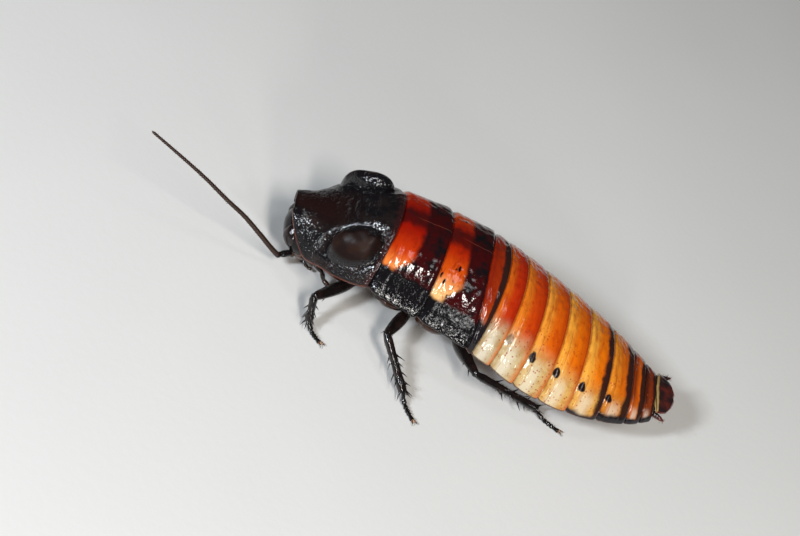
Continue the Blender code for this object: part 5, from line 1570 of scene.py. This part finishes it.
def build_animal():
    """Make every piece."""
    draw = random.Random(SEED)
    materials = {
        "leg": leg_material(), "coxa": coxa_material(), "feeler": feeler_material(), "eye": eye_material(),
        "head": head_material(), "skin": skin_material(), "tail": tail_material(), "belly": belly_material(),
        "pad": pad_material(), "claw": claw_material(), "horn": horn_material(),
    }
    build_head(materials)
    build_thorax(materials)
    build_abdomen(materials)
    for side, _ in SIDES:
        place_piece(cercus_shape(CERCUS_ENDS[side], draw), f"tail_feeler_{side}", materials["tail"],
                    [f"cercus_{side}"])
    for label, joints in LEGS.items():
        build_leg(label, joints, materials, draw)


def build_floor():
    """A plain pale floor with the faintest grain."""
    mesh = bpy.data.meshes.new("floor")
    reach = FLOOR_REACH
    corners = [(-reach, -reach, 0), (reach, -reach, 0), (reach, reach, 0), (-reach, reach, 0)]
    mesh.from_pydata(corners, [], [(0, 1, 2, 3)])
    floor = bpy.data.objects.new("floor", mesh)
    bpy.context.scene.collection.objects.link(floor)
    paint = Paint("floor_paper", 0.75, specular=0.2)
    paint.bumps((paint.noise(0.8, 3), 0.02))
    mesh.materials.append(paint.finish(paint.mix(paint.noise(0.02, 2), FLOOR_GREY, FLOOR_PALE)))


def add_area_light(name, azimuth, elevation, distance, size, power, colour):
    """A soft box aimed at the animal's middle, from a direction round it."""
    a, e = math.radians(azimuth), math.radians(elevation)
    way = Vector((math.sin(a) * math.cos(e), -math.cos(a) * math.cos(e), math.sin(e)))
    light = bpy.data.lights.new(name, "AREA")
    light.shape = "RECTANGLE"
    light.size, light.size_y = size
    light.energy = power
    light.color = colour
    lamp = bpy.data.objects.new(name, light)
    lamp.location = ORIGIN + Vector(LIT_POINT) * MM + way * distance
    lamp.rotation_euler = way.to_track_quat("Z", "Y").to_euler()
    bpy.context.scene.collection.objects.link(lamp)


# Soft boxes: azimuth and elevation in degrees, distance and size in metres, power in watts
# and colour.
SOFT_BOXES = {
    "key": (98, 50, 0.55, (0.06, 0.20), 2.8, (1.0, 0.97, 0.92)),
    "front": (42, 32, 0.55, (0.05, 0.09), 3.8, (0.84, 0.92, 1.0)),
    "low": (100, 16, 0.5, (0.06, 0.07), 0.9, (1.0, 0.99, 0.97)),
    "fill": (140, 76, 0.8, (0.16, 0.16), 0.6, (0.97, 0.98, 1.0)),
}
WORLD_COLOUR, WORLD_STRENGTH = (0.9, 0.93, 1.0, 1.0), 0.04


def build_lights():
    """Bright, cool and low soft boxes round the animal's left, and a weak broad fill."""
    for name, values in SOFT_BOXES.items():
        add_area_light(name, *values)
    world = bpy.data.worlds.new("studio")
    world.use_nodes = True
    background = world.node_tree.nodes["Background"]
    background.inputs["Color"].default_value = WORLD_COLOUR
    background.inputs["Strength"].default_value = WORLD_STRENGTH
    bpy.context.scene.world = world


def build_camera():
    """The camera at the photograph's viewing angle."""
    a, e, r = (math.radians(value) for value in (CAMERA_AZIMUTH, CAMERA_ELEVATION, CAMERA_ROLL))
    back = Vector((math.sin(a) * math.cos(e), -math.cos(a) * math.cos(e), math.sin(e)))
    level = Vector((math.cos(a), math.sin(a), 0))
    upright = back.cross(level)
    right = level * math.cos(r) + upright * math.sin(r)
    up = upright * math.cos(r) - level * math.sin(r)
    data = bpy.data.cameras.new("camera")
    data.lens = CAMERA_LENS
    data.sensor_width = SENSOR_WIDTH
    data.clip_start = CLIP_START
    camera = bpy.data.objects.new("camera", data)
    matrix = Matrix((right, up, back)).transposed().to_4x4()
    matrix.translation = ORIGIN + Vector(CAMERA_TARGET) * MM + back * CAMERA_DISTANCE * MM
    camera.matrix_world = matrix
    bpy.context.scene.collection.objects.link(camera)
    bpy.context.scene.camera = camera


bpy.context.scene.view_settings.view_transform = "Standard"
build_animal()
build_floor()
build_lights()
build_camera()
